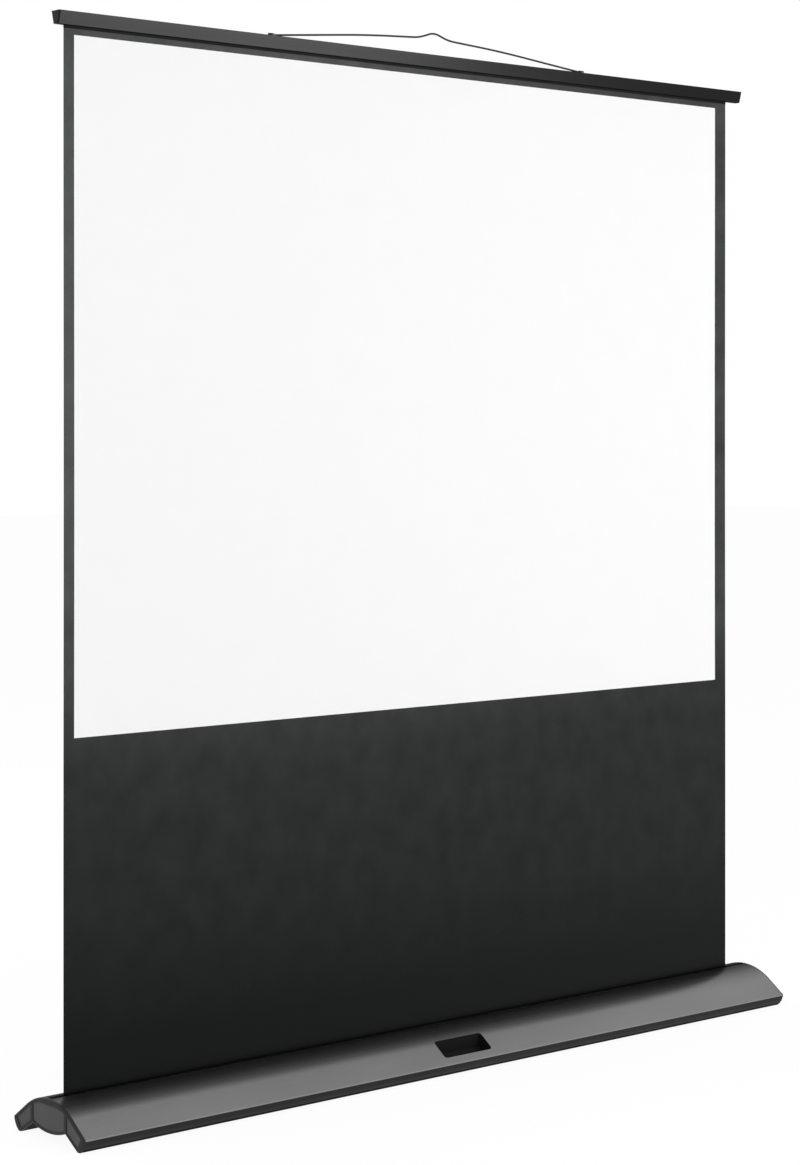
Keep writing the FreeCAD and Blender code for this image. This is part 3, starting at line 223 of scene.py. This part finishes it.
def plain_mesh(piece, name):
    """Swap a piece's mesh for what its modifiers make of it, and drop them."""
    result = piece.evaluated_get(bpy.context.evaluated_depsgraph_get())
    baked = bpy.data.meshes.new_from_object(result)
    piece.modifiers.clear()
    piece.data = baked
    baked.name = name


same_place = 0.000002
same_face = math.radians(0.3)
sharp_edge = math.radians(28)


def soft_edged(name, source, width, material, body):
    """A copy of a CAD piece with its triangles joined, its sharp edges rounded by a small width
    and its curves shaded smoothly. It stands for the CAD piece."""
    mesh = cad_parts[source].data.copy()
    mesh.name = name
    work = bmesh.new()
    work.from_mesh(mesh)
    bmesh.ops.remove_doubles(work, verts=work.verts, dist=same_place)
    bmesh.ops.dissolve_limit(work, angle_limit=same_face, verts=work.verts, edges=work.edges)
    for face in work.faces:
        face.smooth = True
    bmesh.ops.triangulate(work, faces=[face for face in work.faces if len(face.verts) > 4])
    work.to_mesh(mesh)
    work.free()
    mesh.materials.clear()
    mesh.materials.append(material)
    for face in mesh.polygons:
        face.material_index = 0
    piece = new_object(name, mesh)
    round_off = piece.modifiers.new("round off", "BEVEL")
    round_off.width = width
    round_off.segments = 2
    round_off.limit_method = "ANGLE"
    round_off.angle_limit = sharp_edge
    flat = piece.modifiers.new("flat faces", "WEIGHTED_NORMAL")
    flat.mode = "FACE_AREA"
    flat.weight = 100
    plain_mesh(piece, name)
    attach(piece, body)
    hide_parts(source)
    return piece


shell = soft_edged("cassette_shell", "wing_extrusion", 0.0003,
                   anodised("grey anodised", (0.25, 0.25, 0.252), 0.30), "base")
ridge_height = 0.0825
arch_radius = 0.135
wing_angle = math.radians(35.3)
on_profile = 0.00005


def top_of_shell(y):
    """Height and normal of the shell's top face at a distance from the middle plane."""
    slope = min(wing_angle, math.asin(min(1.0, abs(y) / arch_radius)))
    past_bend = max(0.0, abs(y) - arch_radius * math.sin(wing_angle))
    z = ridge_height - arch_radius * (1 - math.cos(slope)) - past_bend * math.tan(wing_angle)
    return z, Vector((0, math.copysign(math.sin(slope), y), math.cos(slope)))


shading = [Vector(corner.vector) for corner in shell.data.corner_normals]
for face in shell.data.polygons:
    places = [shell.data.vertices[index].co for index in face.vertices]
    tops = [top_of_shell(place.y) for place in places]
    if all(abs(place.z - z) < on_profile for place, (z, way) in zip(places, tops)):
        for loop, (z, way) in zip(face.loop_indices, tops):
            shading[loop] = way
shell.data.normals_split_custom_set(shading)


# Edge strips: dark plastic profiles clipped along both long edges. Their lowest 5 mm is a
# near-black rubber, painted shadow under the strip. They are smooth and matt, with faint scuffs
# from floors.
def moulded(name, colour, roughness, grain, depth, gloss=0.1):
    """Moulded plastic with a fine grain of so many pits in a metre, and a little wear."""
    material, tree, shader = finish(name, colour, roughness, Specular_IOR_Level=gloss)
    pits = speckle(tree, (grain, grain, grain), 1.0)
    wear = speckle(tree, (14, 14, 14), 4.0)
    vary(tree, shader, "Base Color", wear, shaded(colour, 0.88), shaded(colour, 1.15))
    vary(tree, shader, "Roughness", wear, roughness - 0.06, roughness + 0.07)
    relief(tree, shader, pits, depth)
    return material


strip_plastic = moulded("strip plastic", (0.020, 0.020, 0.0205), 0.5, 500, 0.000012)
foot_shadow_rubber = moulded("sole rubber", (0.006, 0.006, 0.006), 0.7, 300, 0.00002, 0.03)
foot_shadow_height = 0.005
for name, source in (("front_strip", "front_edge_strip"), ("rear_strip", "rear_edge_strip")):
    strip = soft_edged(name, source, 0.0004, strip_plastic, "base")
    strip.data.materials.append(foot_shadow_rubber)
    for face in strip.data.polygons:
        # Faces near the floor take the near-black rubber: painted shadow along the strip's foot.
        if face.center.z < foot_shadow_height:
            face.material_index = 1


# End caps: dark grey moulded plates with three shallow panels inside a rim, screwed into the
# extrusion's ports. The panels have a coarser grain and a lighter grey; the darker rim and
# grooves round them are painted shade.
groove_shade_cap_plastic = moulded("cap plastic", (0.026, 0.026, 0.0265), 0.45, 900, 0.00002)
panel_plastic = moulded("grained cap plastic", (0.085, 0.085, 0.086), 0.55, 900, 0.00004)
panel_plane, panel_slack = 0.9802, 0.0005
square_on = 0.99
for name, source in (("left_cap", "left_end_cap"), ("right_cap", "right_end_cap")):
    cap = soft_edged(name, source, 0.0004, groove_shade_cap_plastic, "base")
    cap.data.materials.append(panel_plastic)
    # Only the panel floors take the lighter plastic; the rest stays dark as painted shade in the
    # grooves.
    for face in cap.data.polygons:
        if abs(face.normal.x) > square_on and abs(abs(face.center.x) - panel_plane) < panel_slack:
            face.material_index = 1


# Cap screws: black steel with round chamfered heads and cross recesses, two in each cap. One
# screw is made, head at its origin, and set at every point along the way that point faces.
def socket_of(tree, name, kind, value):
    """A named input of a tree with its usual value."""
    socket = tree.interface.new_socket(name=name, in_out="INPUT", socket_type=kind)
    socket.default_value = value
    return socket


def at_points(tree, points, item, material, outlet):
    """Set an item at every point, its Z along the point's facing, and hand on one real mesh."""
    facing = node(tree, "GeometryNodeInputNamedAttribute", data_type="FLOAT_VECTOR", in_0="facing")
    aimed = node(tree, "FunctionNodeAlignRotationToVector", axis="Z")
    placed = node(tree, "GeometryNodeInstanceOnPoints")
    real = node(tree, "GeometryNodeRealizeInstances")
    smooth = node(tree, "GeometryNodeSetShadeSmooth", in_2=False)
    coated = node(tree, "GeometryNodeSetMaterial", in_2=material)
    tree.links.new(facing.outputs[0], aimed.inputs["Vector"])
    tree.links.new(points, placed.inputs["Points"])
    tree.links.new(item, placed.inputs["Instance"])
    tree.links.new(aimed.outputs[0], placed.inputs["Rotation"])
    tree.links.new(placed.outputs[0], real.inputs[0])
    tree.links.new(real.outputs[0], smooth.inputs[0])
    tree.links.new(smooth.outputs[0], coated.inputs[0])
    tree.links.new(coated.outputs[0], outlet.inputs[0])


def new_tree(name):
    """A geometry tree with one geometry in and one out."""
    tree = bpy.data.node_groups.new(name, "GeometryNodeTree")
    tree.interface.new_socket(name="Geometry", in_out="INPUT", socket_type="NodeSocketGeometry")
    tree.interface.new_socket(name="Geometry", in_out="OUTPUT", socket_type="NodeSocketGeometry")
    return tree


def grown(name, start, tree, body, slot, replaced, **sizes):
    """Run a tree on a starting mesh and let the plain mesh that it makes ride on a body."""
    piece = new_object(name, start)
    maker = piece.modifiers.new("maker", "NODES")
    maker.node_group = tree
    for item in tree.interface.items_tree:
        if item.in_out == "INPUT" and item.name in sizes:
            maker[item.identifier] = sizes[item.name]
    plain_mesh(piece, name)
    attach(piece, body)
    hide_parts(*replaced)
    return piece


def spots(name, places, facing):
    """Loose points that carry the way each of them faces."""
    mesh = bpy.data.meshes.new(name)
    mesh.from_pydata(places, [], [])
    held = mesh.attributes.new("facing", "FLOAT_VECTOR", "POINT")
    for item, way in zip(held.data, facing):
        item.vector = way
    return mesh


def turned(tree, inlet, profile, sides):
    """A closed turned solid. Each row of the profile gives a height and a radius, each as one of
    the tree's sizes and a share of it."""
    line = node(tree, "GeometryNodeMeshLine")
    line.inputs["Count"].default_value = len(profile)
    index = node(tree, "GeometryNodeInputIndex")
    columns = []
    for column in (0, 1):
        pick = node(tree, "GeometryNodeIndexSwitch", data_type="FLOAT")
        while len(pick.index_switch_items) < len(profile):
            pick.index_switch_items.new()
        tree.links.new(index.outputs[0], pick.inputs["Index"])
        for place, row in enumerate(profile):
            size, share = row[column]
            part = node(tree, "ShaderNodeMath", operation="MULTIPLY", in_1=share)
            tree.links.new(inlet.outputs[size], part.inputs[0])
            tree.links.new(part.outputs[0], pick.inputs[place + 1])
        columns.append(pick.outputs[0])
    point = node(tree, "ShaderNodeCombineXYZ")
    placed = node(tree, "GeometryNodeSetPosition")
    kept = node(tree, "GeometryNodeStoreNamedAttribute", data_type="FLOAT")
    kept.inputs["Name"].default_value = "turned radius"
    axis = node(tree, "GeometryNodeMeshToCurve")
    ring = node(tree, "GeometryNodeCurvePrimitiveCircle")
    ring.inputs["Resolution"].default_value = sides
    ring.inputs["Radius"].default_value = 1.0
    radius = node(tree, "GeometryNodeInputNamedAttribute", data_type="FLOAT", in_0="turned radius")
    solid = node(tree, "GeometryNodeCurveToMesh")
    solid.inputs["Fill Caps"].default_value = True
    tree.links.new(columns[0], point.inputs[2])
    tree.links.new(line.outputs[0], kept.inputs["Geometry"])
    tree.links.new(columns[1], kept.inputs["Value"])
    tree.links.new(kept.outputs[0], placed.inputs["Geometry"])
    tree.links.new(point.outputs[0], placed.inputs["Position"])
    tree.links.new(placed.outputs[0], axis.inputs[0])
    tree.links.new(axis.outputs[0], solid.inputs["Curve"])
    tree.links.new(ring.outputs[0], solid.inputs["Profile Curve"])
    tree.links.new(radius.outputs[0], solid.inputs["Scale"])
    return solid.outputs[0]


cap_screw_head = 0.0034


def screw_tree(material):
    """Round screw: a chamfered head, a plain shank and a cross recess cut by two bars in turn.
    The bars are measured in head radii."""
    tree = new_tree("cross screw")
    socket_of(tree, "Head radius", "NodeSocketFloat", cap_screw_head)
    socket_of(tree, "Head height", "NodeSocketFloat", 0.0018)
    socket_of(tree, "Shank radius", "NodeSocketFloat", 0.0017)
    socket_of(tree, "Shank length", "NodeSocketFloat", 0.014)
    inlet = node(tree, "NodeGroupInput")
    outlet = node(tree, "NodeGroupOutput")
    solid = turned(tree, inlet, [(("Shank length", -1.0), ("Shank radius", 1.0)),
                                 (("Head height", -1.02), ("Shank radius", 1.0)),
                                 (("Head height", -1.0), ("Head radius", 1.0)),
                                 (("Head height", -0.15), ("Head radius", 1.0)),
                                 (("Head height", 0.0), ("Head radius", 0.9))], sides=28)
    for long, wide, deep in ((1.25, 0.26, 0.6), (0.26, 1.25, 0.56)):
        bar = node(tree, "GeometryNodeMeshCube")
        size = node(tree, "ShaderNodeCombineXYZ")
        recess = node(tree, "GeometryNodeMeshBoolean", operation="DIFFERENCE")
        for index, times in enumerate((long, wide, deep)):
            part = node(tree, "ShaderNodeMath", operation="MULTIPLY", in_1=times)
            tree.links.new(inlet.outputs["Head radius"], part.inputs[0])
            tree.links.new(part.outputs[0], size.inputs[index])
        tree.links.new(size.outputs[0], bar.inputs[0])
        tree.links.new(solid, recess.inputs[0])
        tree.links.new(bar.outputs[0], recess.inputs[1])
        solid = recess.outputs[0]
    at_points(tree, inlet.outputs["Geometry"], solid, material, outlet)
    return tree


def steel(name, colour, roughness, stretch):
    """Metal with fine lines or clouds; stretch gives the grains in a metre of each axis."""
    material, tree, shader = finish(name, colour, roughness, metallic=1.0)
    lines = speckle(tree, stretch, 3.0)
    vary(tree, shader, "Base Color", lines, shaded(colour, 0.85), shaded(colour, 1.12))
    vary(tree, shader, "Roughness", lines, roughness - 0.07, roughness + 0.08)
    relief(tree, shader, lines, 0.00001)
    return material


black_steel = steel("black steel", (0.045, 0.045, 0.048), 0.42, (400, 400, 400))
low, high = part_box("end_cap_screws")
screw_y = (high.y - low.y) / 2 - cap_screw_head
screw_z = (high.z + low.z) / 2
screw_places = [(x, y, screw_z) for x in (low.x, high.x) for y in (-screw_y, screw_y)]
grown("cap_screws", spots("cap screw spots", screw_places, [(way, 0, 0) for way in (-1, -1, 1, 1)]),
      screw_tree(black_steel), "base", "screw_black", ["end_cap_screws"])


# Slot lips and grip tub: black moulded plastic. The lips keep the cloth off the metal, and the
# tub closes the hand grip's mouth in the front wing. The shell's cut faces round the mouth take
# the tub's dark plastic, which is painted shade.
black_plastic = moulded("black plastic", (0.004, 0.004, 0.0041), 0.5, 700, 0.00002)
# The lips' deepest black, with next to no gloss, is painted shade: it stands for the dark of the slot.
slot_shade_black = moulded("deep black plastic", (0.0015, 0.0015, 0.0015), 0.7, 700, 0.00002, 0.02)
for name, source in (("front_lip", "front_slot_lip"), ("rear_lip", "rear_slot_lip")):
    soft_edged(name, source, 0.0003, slot_shade_black, "base")
tub_plastic = moulded("tub plastic", (0.008, 0.008, 0.0081), 0.6, 700, 0.00002, 0.05)
soft_edged("grip_cup", "grip_tub", 0.0004, tub_plastic, "base")
low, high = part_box("grip_tub")
mouth_shade_reach = 0.03
along_top = 0.8
# The mouth's cut faces in the shell get the tub plastic: painted shade down the grip's edge.
shell.data.materials.append(tub_plastic)
for face in shell.data.polygons:
    inside = low.x < face.center.x < high.x and low.y < face.center.y < high.y
    across_top = face.normal.dot(top_of_shell(face.center.y)[1]) < along_top
    if inside and across_top and face.center.z > high.z - mouth_shade_reach:
        face.material_index = 1


# Roller inside the cassette: an aluminium tube with moulded plugs and nylon bushes on a pin and
# a shaft, and zinc-plated brackets beside the end caps.
def repaint(material, *names):
    """Give carried-over CAD pieces their finish."""
    for name in names:
        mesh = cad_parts[name].data
        mesh.materials.clear()
        mesh.materials.append(material)


silver = anodised("silver anodised", (0.62, 0.62, 0.63), 0.28)
zinc = steel("zinc plate", (0.50, 0.50, 0.51), 0.34, (60, 60, 60))
nylon = moulded("nylon", (0.62, 0.60, 0.54), 0.45, 900, 0.00001)
repaint(silver, "roller_tube")
repaint(black_plastic, "idler_plug", "spring_plug")
repaint(nylon, "idler_bush", "spring_bush")
repaint(zinc, "idler_pin", "spring_shaft", "left_roller_bracket", "right_roller_bracket")


# Roller spring: one oiled steel wire wound in an open helix round the fixed shaft, inside the
# roller's tube. Nothing of it shows in the photograph.
spring_wire = 0.0015


def coil_tree(material):
    """A wire wound in a helix along Z from its start."""
    tree = new_tree("wound spring")
    socket_of(tree, "Turns", "NodeSocketFloat", 16.0)
    socket_of(tree, "Coil radius", "NodeSocketFloat", 0.0105)
    socket_of(tree, "Pitch", "NodeSocketFloat", 0.011)
    socket_of(tree, "Wire radius", "NodeSocketFloat", spring_wire)
    inlet = node(tree, "NodeGroupInput")
    outlet = node(tree, "NodeGroupOutput")
    helix = node(tree, "GeometryNodeCurveSpiral", in_0=28)
    length = node(tree, "ShaderNodeMath", operation="MULTIPLY")
    tree.links.new(inlet.outputs["Turns"], length.inputs[0])
    tree.links.new(inlet.outputs["Pitch"], length.inputs[1])
    tree.links.new(inlet.outputs["Turns"], helix.inputs["Rotations"])
    tree.links.new(inlet.outputs["Coil radius"], helix.inputs["Start Radius"])
    tree.links.new(inlet.outputs["Coil radius"], helix.inputs["End Radius"])
    tree.links.new(length.outputs[0], helix.inputs["Height"])
    ring = node(tree, "GeometryNodeCurvePrimitiveCircle", in_0=12)
    tree.links.new(inlet.outputs["Wire radius"], ring.inputs["Radius"])
    wire = node(tree, "GeometryNodeCurveToMesh")
    wire.inputs["Fill Caps"].default_value = True
    tree.links.new(helix.outputs[0], wire.inputs[0])
    tree.links.new(ring.outputs[0], wire.inputs[1])
    at_points(tree, inlet.outputs["Geometry"], wire.outputs[0], material, outlet)
    return tree


low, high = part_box("torsion_spring")
spring_start = (low.x + spring_wire, (low.y + high.y) / 2, (low.z + high.z) / 2)
grown("roller_spring", spots("spring spot", [spring_start], [(1, 0, 0)]),
      coil_tree(steel("spring steel", (0.20, 0.20, 0.21), 0.3, (500, 500, 500))),
      "base", "spring_steel", ["torsion_spring"])


# Cloth: white vinyl-coated cloth with a black back, its border and lower drop black on both
# sides. It leaves the roller, passes the slot, and hangs from the bar under the spring's pull
# with a barely visible wave. Its black front grows darker downwards: a lighter print on the
# border, and painted shade down the drop towards the slot.
cloth_top = 2.2
cloth_thickness = 0.0005


def cloth_finish(name, shades, roughness, gloss, tint=(1.0, 1.0, 1.0), uneven=0.004):
    """Coated cloth: a fine weave seen through a matt coat. Shades give its grey at heights in
    metres, which can hold print and painted shade, and uneven how far it strays from them."""
    material, tree, shader = finish(name, (0.5, 0.5, 0.5), roughness, Specular_IOR_Level=gloss,
                                    Specular_Tint=(*tint, 1))
    place = node(tree, "ShaderNodeTexCoord")
    split = node(tree, "ShaderNodeSeparateXYZ")
    height = node(tree, "ShaderNodeMapRange", in_1=0.0, in_2=cloth_top)
    # Greys by height; on the black cloth they hold print and painted shade.
    print_and_painted_shade = node(tree, "ShaderNodeValToRGB")
    while len(print_and_painted_shade.color_ramp.elements) < len(shades):
        print_and_painted_shade.color_ramp.elements.new(0.5)
    for stop, (z, grey) in zip(print_and_painted_shade.color_ramp.elements, shades):
        stop.position = z / cloth_top
        stop.color = (*(grey * share for share in tint), 1)
    tree.links.new(place.outputs["Object"], split.inputs[0])
    tree.links.new(split.outputs[2], height.inputs[0])
    tree.links.new(height.outputs[0], print_and_painted_shade.inputs[0])
    heights = []
    for axis in ("X", "Z"):
        thread = node(tree, "ShaderNodeTexWave", wave_type="BANDS", bands_direction=axis)
        thread.inputs["Scale"].default_value = 260
        thread.inputs["Distortion"].default_value = 0.6
        tree.links.new(place.outputs["Object"], thread.inputs["Vector"])
        heights.append(thread.outputs[1])
    weave = node(tree, "ShaderNodeMath", operation="MULTIPLY")
    tree.links.new(heights[0], weave.inputs[0])
    tree.links.new(heights[1], weave.inputs[1])
    clouds = node(tree, "ShaderNodeMapRange", in_1=noise_low, in_2=noise_high,
                  in_3=1 - uneven, in_4=1 + uneven)
    shade = node(tree, "ShaderNodeVectorMath", operation="SCALE")
    tree.links.new(speckle(tree, (15, 15, 15), 7.0), clouds.inputs[0])
    tree.links.new(print_and_painted_shade.outputs[0], shade.inputs[0])
    tree.links.new(clouds.outputs[0], shade.inputs["Scale"])
    tree.links.new(shade.outputs[0], shader.inputs["Base Color"])
    relief(tree, shader, weave.outputs[0], 0.00001)
    return material


black_tint = (0.94, 1.0, 0.98)
white_shades = [(0.0, 0.9), (cloth_top, 0.9)]
# Black greys by height: lighter print on the border, and painted shade darkening the drop towards the
# slot.
black_print_and_painted_shade = [(0.08, 0.0005), (0.17, 0.001), (0.4, 0.011), (0.7, 0.016), (0.9, 0.04),
                (cloth_top, 0.046)]
back_shades = [(0.0, 0.012), (cloth_top, 0.012)]
white_cloth = cloth_finish("white cloth", white_shades, 0.8, 0.1)
black_cloth = cloth_finish("black cloth", black_print_and_painted_shade, 0.27, 0.12, black_tint, 0.28)
black_backing = cloth_finish("black backing", back_shades, 0.35, 0.12, black_tint, 0.10)
flat_below = 0.09
free_height = 2.04
wave_depth = 0.0009


def wave(x, z):
    """How far the cloth stands off its plane. It lies flat at the bar and at the slot."""
    free = math.sin(math.pi * min(max((z - flat_below) / free_height, 0.0), 1.0))
    return wave_depth * free * math.sin(3.1 * x + 0.9 * z + 0.4) * math.sin(1.7 * x - 2.3 * z)


def steps(start, stop, about):
    """Evenly spaced places from start to stop, both included, about so far apart."""
    count = max(1, round((stop - start) / about))
    return [start + (stop - start) * index / count for index in range(count + 1)]


def thicken(piece, thickness):
    """Give a single layer its thickness, half to either side."""
    thick = piece.modifiers.new("cloth thickness", "SOLIDIFY")
    thick.thickness = thickness
    thick.offset = 0.0
    plain_mesh(piece, piece.name)


def cloth_piece(name, across, up, window, material, source):
    """A sheet over a grid of places, without the cells inside the window."""
    mesh = bpy.data.meshes.new(name)
    points = {}
    vertices = []
    faces = []

    def corner(x, z):
        key = (round(x, 6), round(z, 6))
        if key not in points:
            points[key] = len(vertices)
            vertices.append((x, wave(x, z), z))
        return points[key]

    for x0, x1 in zip(across, across[1:]):
        for z0, z1 in zip(up, up[1:]):
            x, z = (x0 + x1) / 2, (z0 + z1) / 2
            if window and window[0] < x < window[1] and window[2] < z < window[3]:
                continue
            faces.append([corner(x0, z0), corner(x1, z0), corner(x1, z1), corner(x0, z1)])
    mesh.from_pydata(vertices, [], faces)
    mesh.materials.append(material)
    for face in mesh.polygons:
        face.use_smooth = True
    piece = new_object(name, mesh)
    thicken(piece, cloth_thickness)
    piece.data.set_sharp_from_angle(angle=math.radians(40))
    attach(piece, "base")
    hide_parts(source)
    return piece


low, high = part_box("white_panel")
edge_low, edge_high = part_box("black_masking")
cell = 0.03
across = steps(low.x, high.x, cell)
up = steps(low.z, high.z, cell)
image = cloth_piece("image_area", across, up, None, white_cloth, "white_panel")
border_x = steps(edge_low.x, low.x, cell)[:-1] + across + steps(high.x, edge_high.x, cell)[1:]
border_z = steps(edge_low.z, low.z, cell)[:-1] + up + steps(high.z, edge_high.z, cell)[1:]
border = cloth_piece("black_border", border_x, border_z, (low.x, high.x, low.z, high.z),
                     black_cloth, "black_masking")
facing_rear = 0.5
for piece in (image, border):
    piece.data.materials.append(black_backing)
    for face in piece.data.polygons:
        if face.normal.y > facing_rear:
            face.material_index = 1
for piece in (image, border):
    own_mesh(piece)


# Wound cloth: the last four turns of the same black cloth on the roller, one layer over the
# next in a spiral that starts on the tube.
low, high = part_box("wound_fabric")
turns = 4
facets = 40
inner_radius = 0.0163
layer = 0.00042
layer_thickness = 0.0003
middle_y = (low.y + high.y) / 2
middle_z = (low.z + high.z) / 2
rim = []
for index in range(turns * facets + 1):
    angle = 2 * math.pi * index / facets
    radius = inner_radius + layer * index / facets
    rim.append((middle_y + radius * math.cos(angle), middle_z + radius * math.sin(angle)))
mesh = bpy.data.meshes.new("cloth_roll")
sides = [(x, y, z) for y, z in rim for x in (low.x, high.x)]
strips = [(2 * i, 2 * i + 2, 2 * i + 3, 2 * i + 1) for i in range(len(rim) - 1)]
mesh.from_pydata(sides, [], strips)
mesh.materials.append(black_cloth)
for face in mesh.polygons:
    face.use_smooth = True
roll = new_object("cloth_roll", mesh)
thicken(roll, layer_thickness)
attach(roll, "roller")
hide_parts("wound_fabric")


# Mast behind the cloth: silver anodised tubes in a black moulded socket, with fluted twist-lock
# collars, and a moulded head that stands in the catch on the bar.
tube_finish = steel("drawn tube", (0.60, 0.60, 0.61), 0.27, (500, 500, 3))
for name, source, body in (("lower_tube", "mast_lower_tube", "base"),
                           ("middle_tube", "mast_middle_tube", "mast_middle"),
                           ("upper_tube", "mast_upper_tube", "mast_upper")):
    soft_edged(name, source, 0.0003, tube_finish, body)
for name, source, body in (("socket", "mast_socket", "base"),
                           ("lower_collar", "lower_lock_collar", "lower_lock"),
                           ("upper_collar", "upper_lock_collar", "upper_lock"),
                           ("mast_tip", "mast_head", "mast_upper")):
    soft_edged(name, source, 0.0004, black_plastic, body)
repaint(black_plastic, "mast_foot_plug", "middle_guide", "upper_guide")
low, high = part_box("mast_socket_screws")
socket_screw_head = 0.0032
screw_x = (low.x + socket_screw_head, high.x - socket_screw_head)
screw_places = [(x, (low.y + high.y) / 2, high.z) for x in screw_x]
grown("socket_screws", spots("socket screw spots", screw_places, [(0, 0, 1), (0, 0, 1)]),
      screw_tree(zinc), "base", "zinc_steel", ["mast_socket_screws"],
      **{"Head radius": socket_screw_head, "Head height": 0.002, "Shank radius": 0.0016,
         "Shank length": 0.025})


# Top bar: a hollow dark grey extrusion, wider at its top, with black moulded ends. The cloth's
# welt runs in its slot and shows as a dark line below it; its black is partly the welt's own and
# partly painted shade, the bar's shadow on the cloth.
bar_finish = anodised("dark anodised", (0.022, 0.022, 0.0225), 0.24)
soft_edged("bar", "top_bar", 0.0003, bar_finish, "top_bar")
for name, source in (("left_bar_end", "left_bar_cap"), ("right_bar_end", "right_bar_cap")):
    soft_edged(name, source, 0.0006, black_plastic, "top_bar")
# The welt's black also paints the bar's shadow along the cloth's top.
repaint(black_plastic, "keder_strip")


# Mast catch on the bar's back: a black moulding with a cup underneath for the mast's head. Two
# zinc-plated rivets hold it to the bar's leaning rear face.
rivet_radius = 0.0023
rivet_height = 0.0011


def rivet_tree(material):
    """A rivet with a low faceted dome on its origin and a plain shank below it."""
    tree = new_tree("dome rivet")
    socket_of(tree, "Head radius", "NodeSocketFloat", rivet_radius)
    socket_of(tree, "Head height", "NodeSocketFloat", rivet_height)
    socket_of(tree, "Shank radius", "NodeSocketFloat", 0.0013)
    socket_of(tree, "Shank length", "NodeSocketFloat", 0.003)
    inlet = node(tree, "NodeGroupInput")
    outlet = node(tree, "NodeGroupOutput")
    solid = turned(tree, inlet, [(("Shank length", -1.0), ("Shank radius", 1.0)),
                                 (("Shank length", -0.01), ("Shank radius", 1.0)),
                                 (("Head height", 0.0), ("Head radius", 1.0)),
                                 (("Head height", 0.45), ("Head radius", 0.9)),
                                 (("Head height", 0.8), ("Head radius", 0.66)),
                                 (("Head height", 1.0), ("Head radius", 0.3))], sides=24)
    at_points(tree, inlet.outputs["Geometry"], solid, material, outlet)
    return tree


soft_edged("catch", "mast_catch", 0.0005, black_plastic, "top_bar")
rivets = rivet_tree(zinc)
bar_low, bar_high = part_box("top_bar")
bar_head, bar_foot, bar_tall = 0.0266, 0.0132, 0.0258
lean = math.atan((bar_head - bar_foot) / 2 / bar_tall)
outward = Vector((0, math.cos(lean), -math.sin(lean)))
rivet_z = 2.143
rivet_x = 0.03
catch_plate = 0.0025
seat_y = bar_foot / 2 + (rivet_z - bar_low.z) * math.tan(lean)
seats = [Vector((x, seat_y, rivet_z)) + catch_plate * outward for x in (-rivet_x, rivet_x)]
grown("catch_rivets", spots("catch rivet spots", seats, [outward, outward]),
      rivets, "top_bar", "zinc_steel", ["mast_catch_rivets"])


# Bail lugs: two low saddles of dark plated steel, each riveted to the bar's top on both sides
# of the wire that turns in it.
wire_steel = steel("plated wire", (0.035, 0.035, 0.036), 0.33, (8, 700, 700))
for name, source in (("left_lug", "left_bail_lug"), ("right_lug", "right_bail_lug")):
    soft_edged(name, source, 0.0003, wire_steel, "top_bar")
low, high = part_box("bail_lug_rivets")
lug_x = (low.x + rivet_radius, high.x - rivet_radius)
lug_y = 0.0073
seats = [(x, y, high.z - rivet_height) for x in lug_x for y in (-lug_y, lug_y)]
grown("lug_rivets", spots("lug rivet spots", seats, [(0, 0, 1)] * len(seats)),
      rivets, "top_bar", "zinc_steel", ["bail_lug_rivets"])


# Wire bail: one dark plated steel wire that turns in the lugs. It rises in two long gentle legs
# to a narrow raised kink, which drops over a hook.
def wire_tree(material):
    """A round wire along the starting mesh's edges. Every point has a bend of its own radius."""
    tree = new_tree("bent wire")
    socket_of(tree, "Wire radius", "NodeSocketFloat", 0.0021)
    socket_of(tree, "Steps in a bend", "NodeSocketInt", 14)
    inlet = node(tree, "NodeGroupInput")
    outlet = node(tree, "NodeGroupOutput")
    path = node(tree, "GeometryNodeMeshToCurve")
    bend = node(tree, "GeometryNodeInputNamedAttribute", data_type="FLOAT", in_0="bend")
    curved = node(tree, "GeometryNodeFilletCurve", mode="POLY")
    ring = node(tree, "GeometryNodeCurvePrimitiveCircle", in_0=18)
    wire = node(tree, "GeometryNodeCurveToMesh")
    wire.inputs["Fill Caps"].default_value = True
    smooth = node(tree, "GeometryNodeSetShadeSmooth")
    coated = node(tree, "GeometryNodeSetMaterial", in_2=material)
    tree.links.new(inlet.outputs["Geometry"], path.inputs[0])
    tree.links.new(path.outputs[0], curved.inputs[0])
    tree.links.new(bend.outputs[0], curved.inputs["Radius"])
    tree.links.new(inlet.outputs["Steps in a bend"], curved.inputs["Count"])
    tree.links.new(curved.outputs[0], wire.inputs[0])
    tree.links.new(inlet.outputs["Wire radius"], ring.inputs["Radius"])
    tree.links.new(ring.outputs[0], wire.inputs[1])
    tree.links.new(wire.outputs[0], smooth.inputs[0])
    tree.links.new(smooth.outputs[0], coated.inputs[0])
    tree.links.new(coated.outputs[0], outlet.inputs[0])
    return tree


bar_middle = -0.005
pivot = 0.0034
short_bend, long_bend = 0.15, 0.45
half_route = [(0.445, pivot), (0.426, pivot), (0.190, 0.0268), (0.042, 0.0355), (0.007, 0.0469)]
route = [(-x, z) for x, z in half_route] + [(x, z) for x, z in reversed(half_route)]
points = [Vector((bar_middle + x, 0, bar_high.z + z)) for x, z in route]
mesh = bpy.data.meshes.new("bail route")
mesh.from_pydata(points, [(i, i + 1) for i in range(len(points) - 1)], [])
bend = mesh.attributes.new("bend", "FLOAT", "POINT")
for index in range(1, len(points) - 1):
    come = points[index] - points[index - 1]
    go = points[index + 1] - points[index]
    share = short_bend if index in (1, len(points) - 2) else long_bend
    reach = share * min(come.length, go.length)
    bend.data[index].value = reach / math.tan(come.angle(go) / 2)
grown("bail_wire", mesh, wire_tree(wire_steel), "bail", "wire_steel", ["wire_bail"])
repaint(black_plastic, "bail_end_stops")
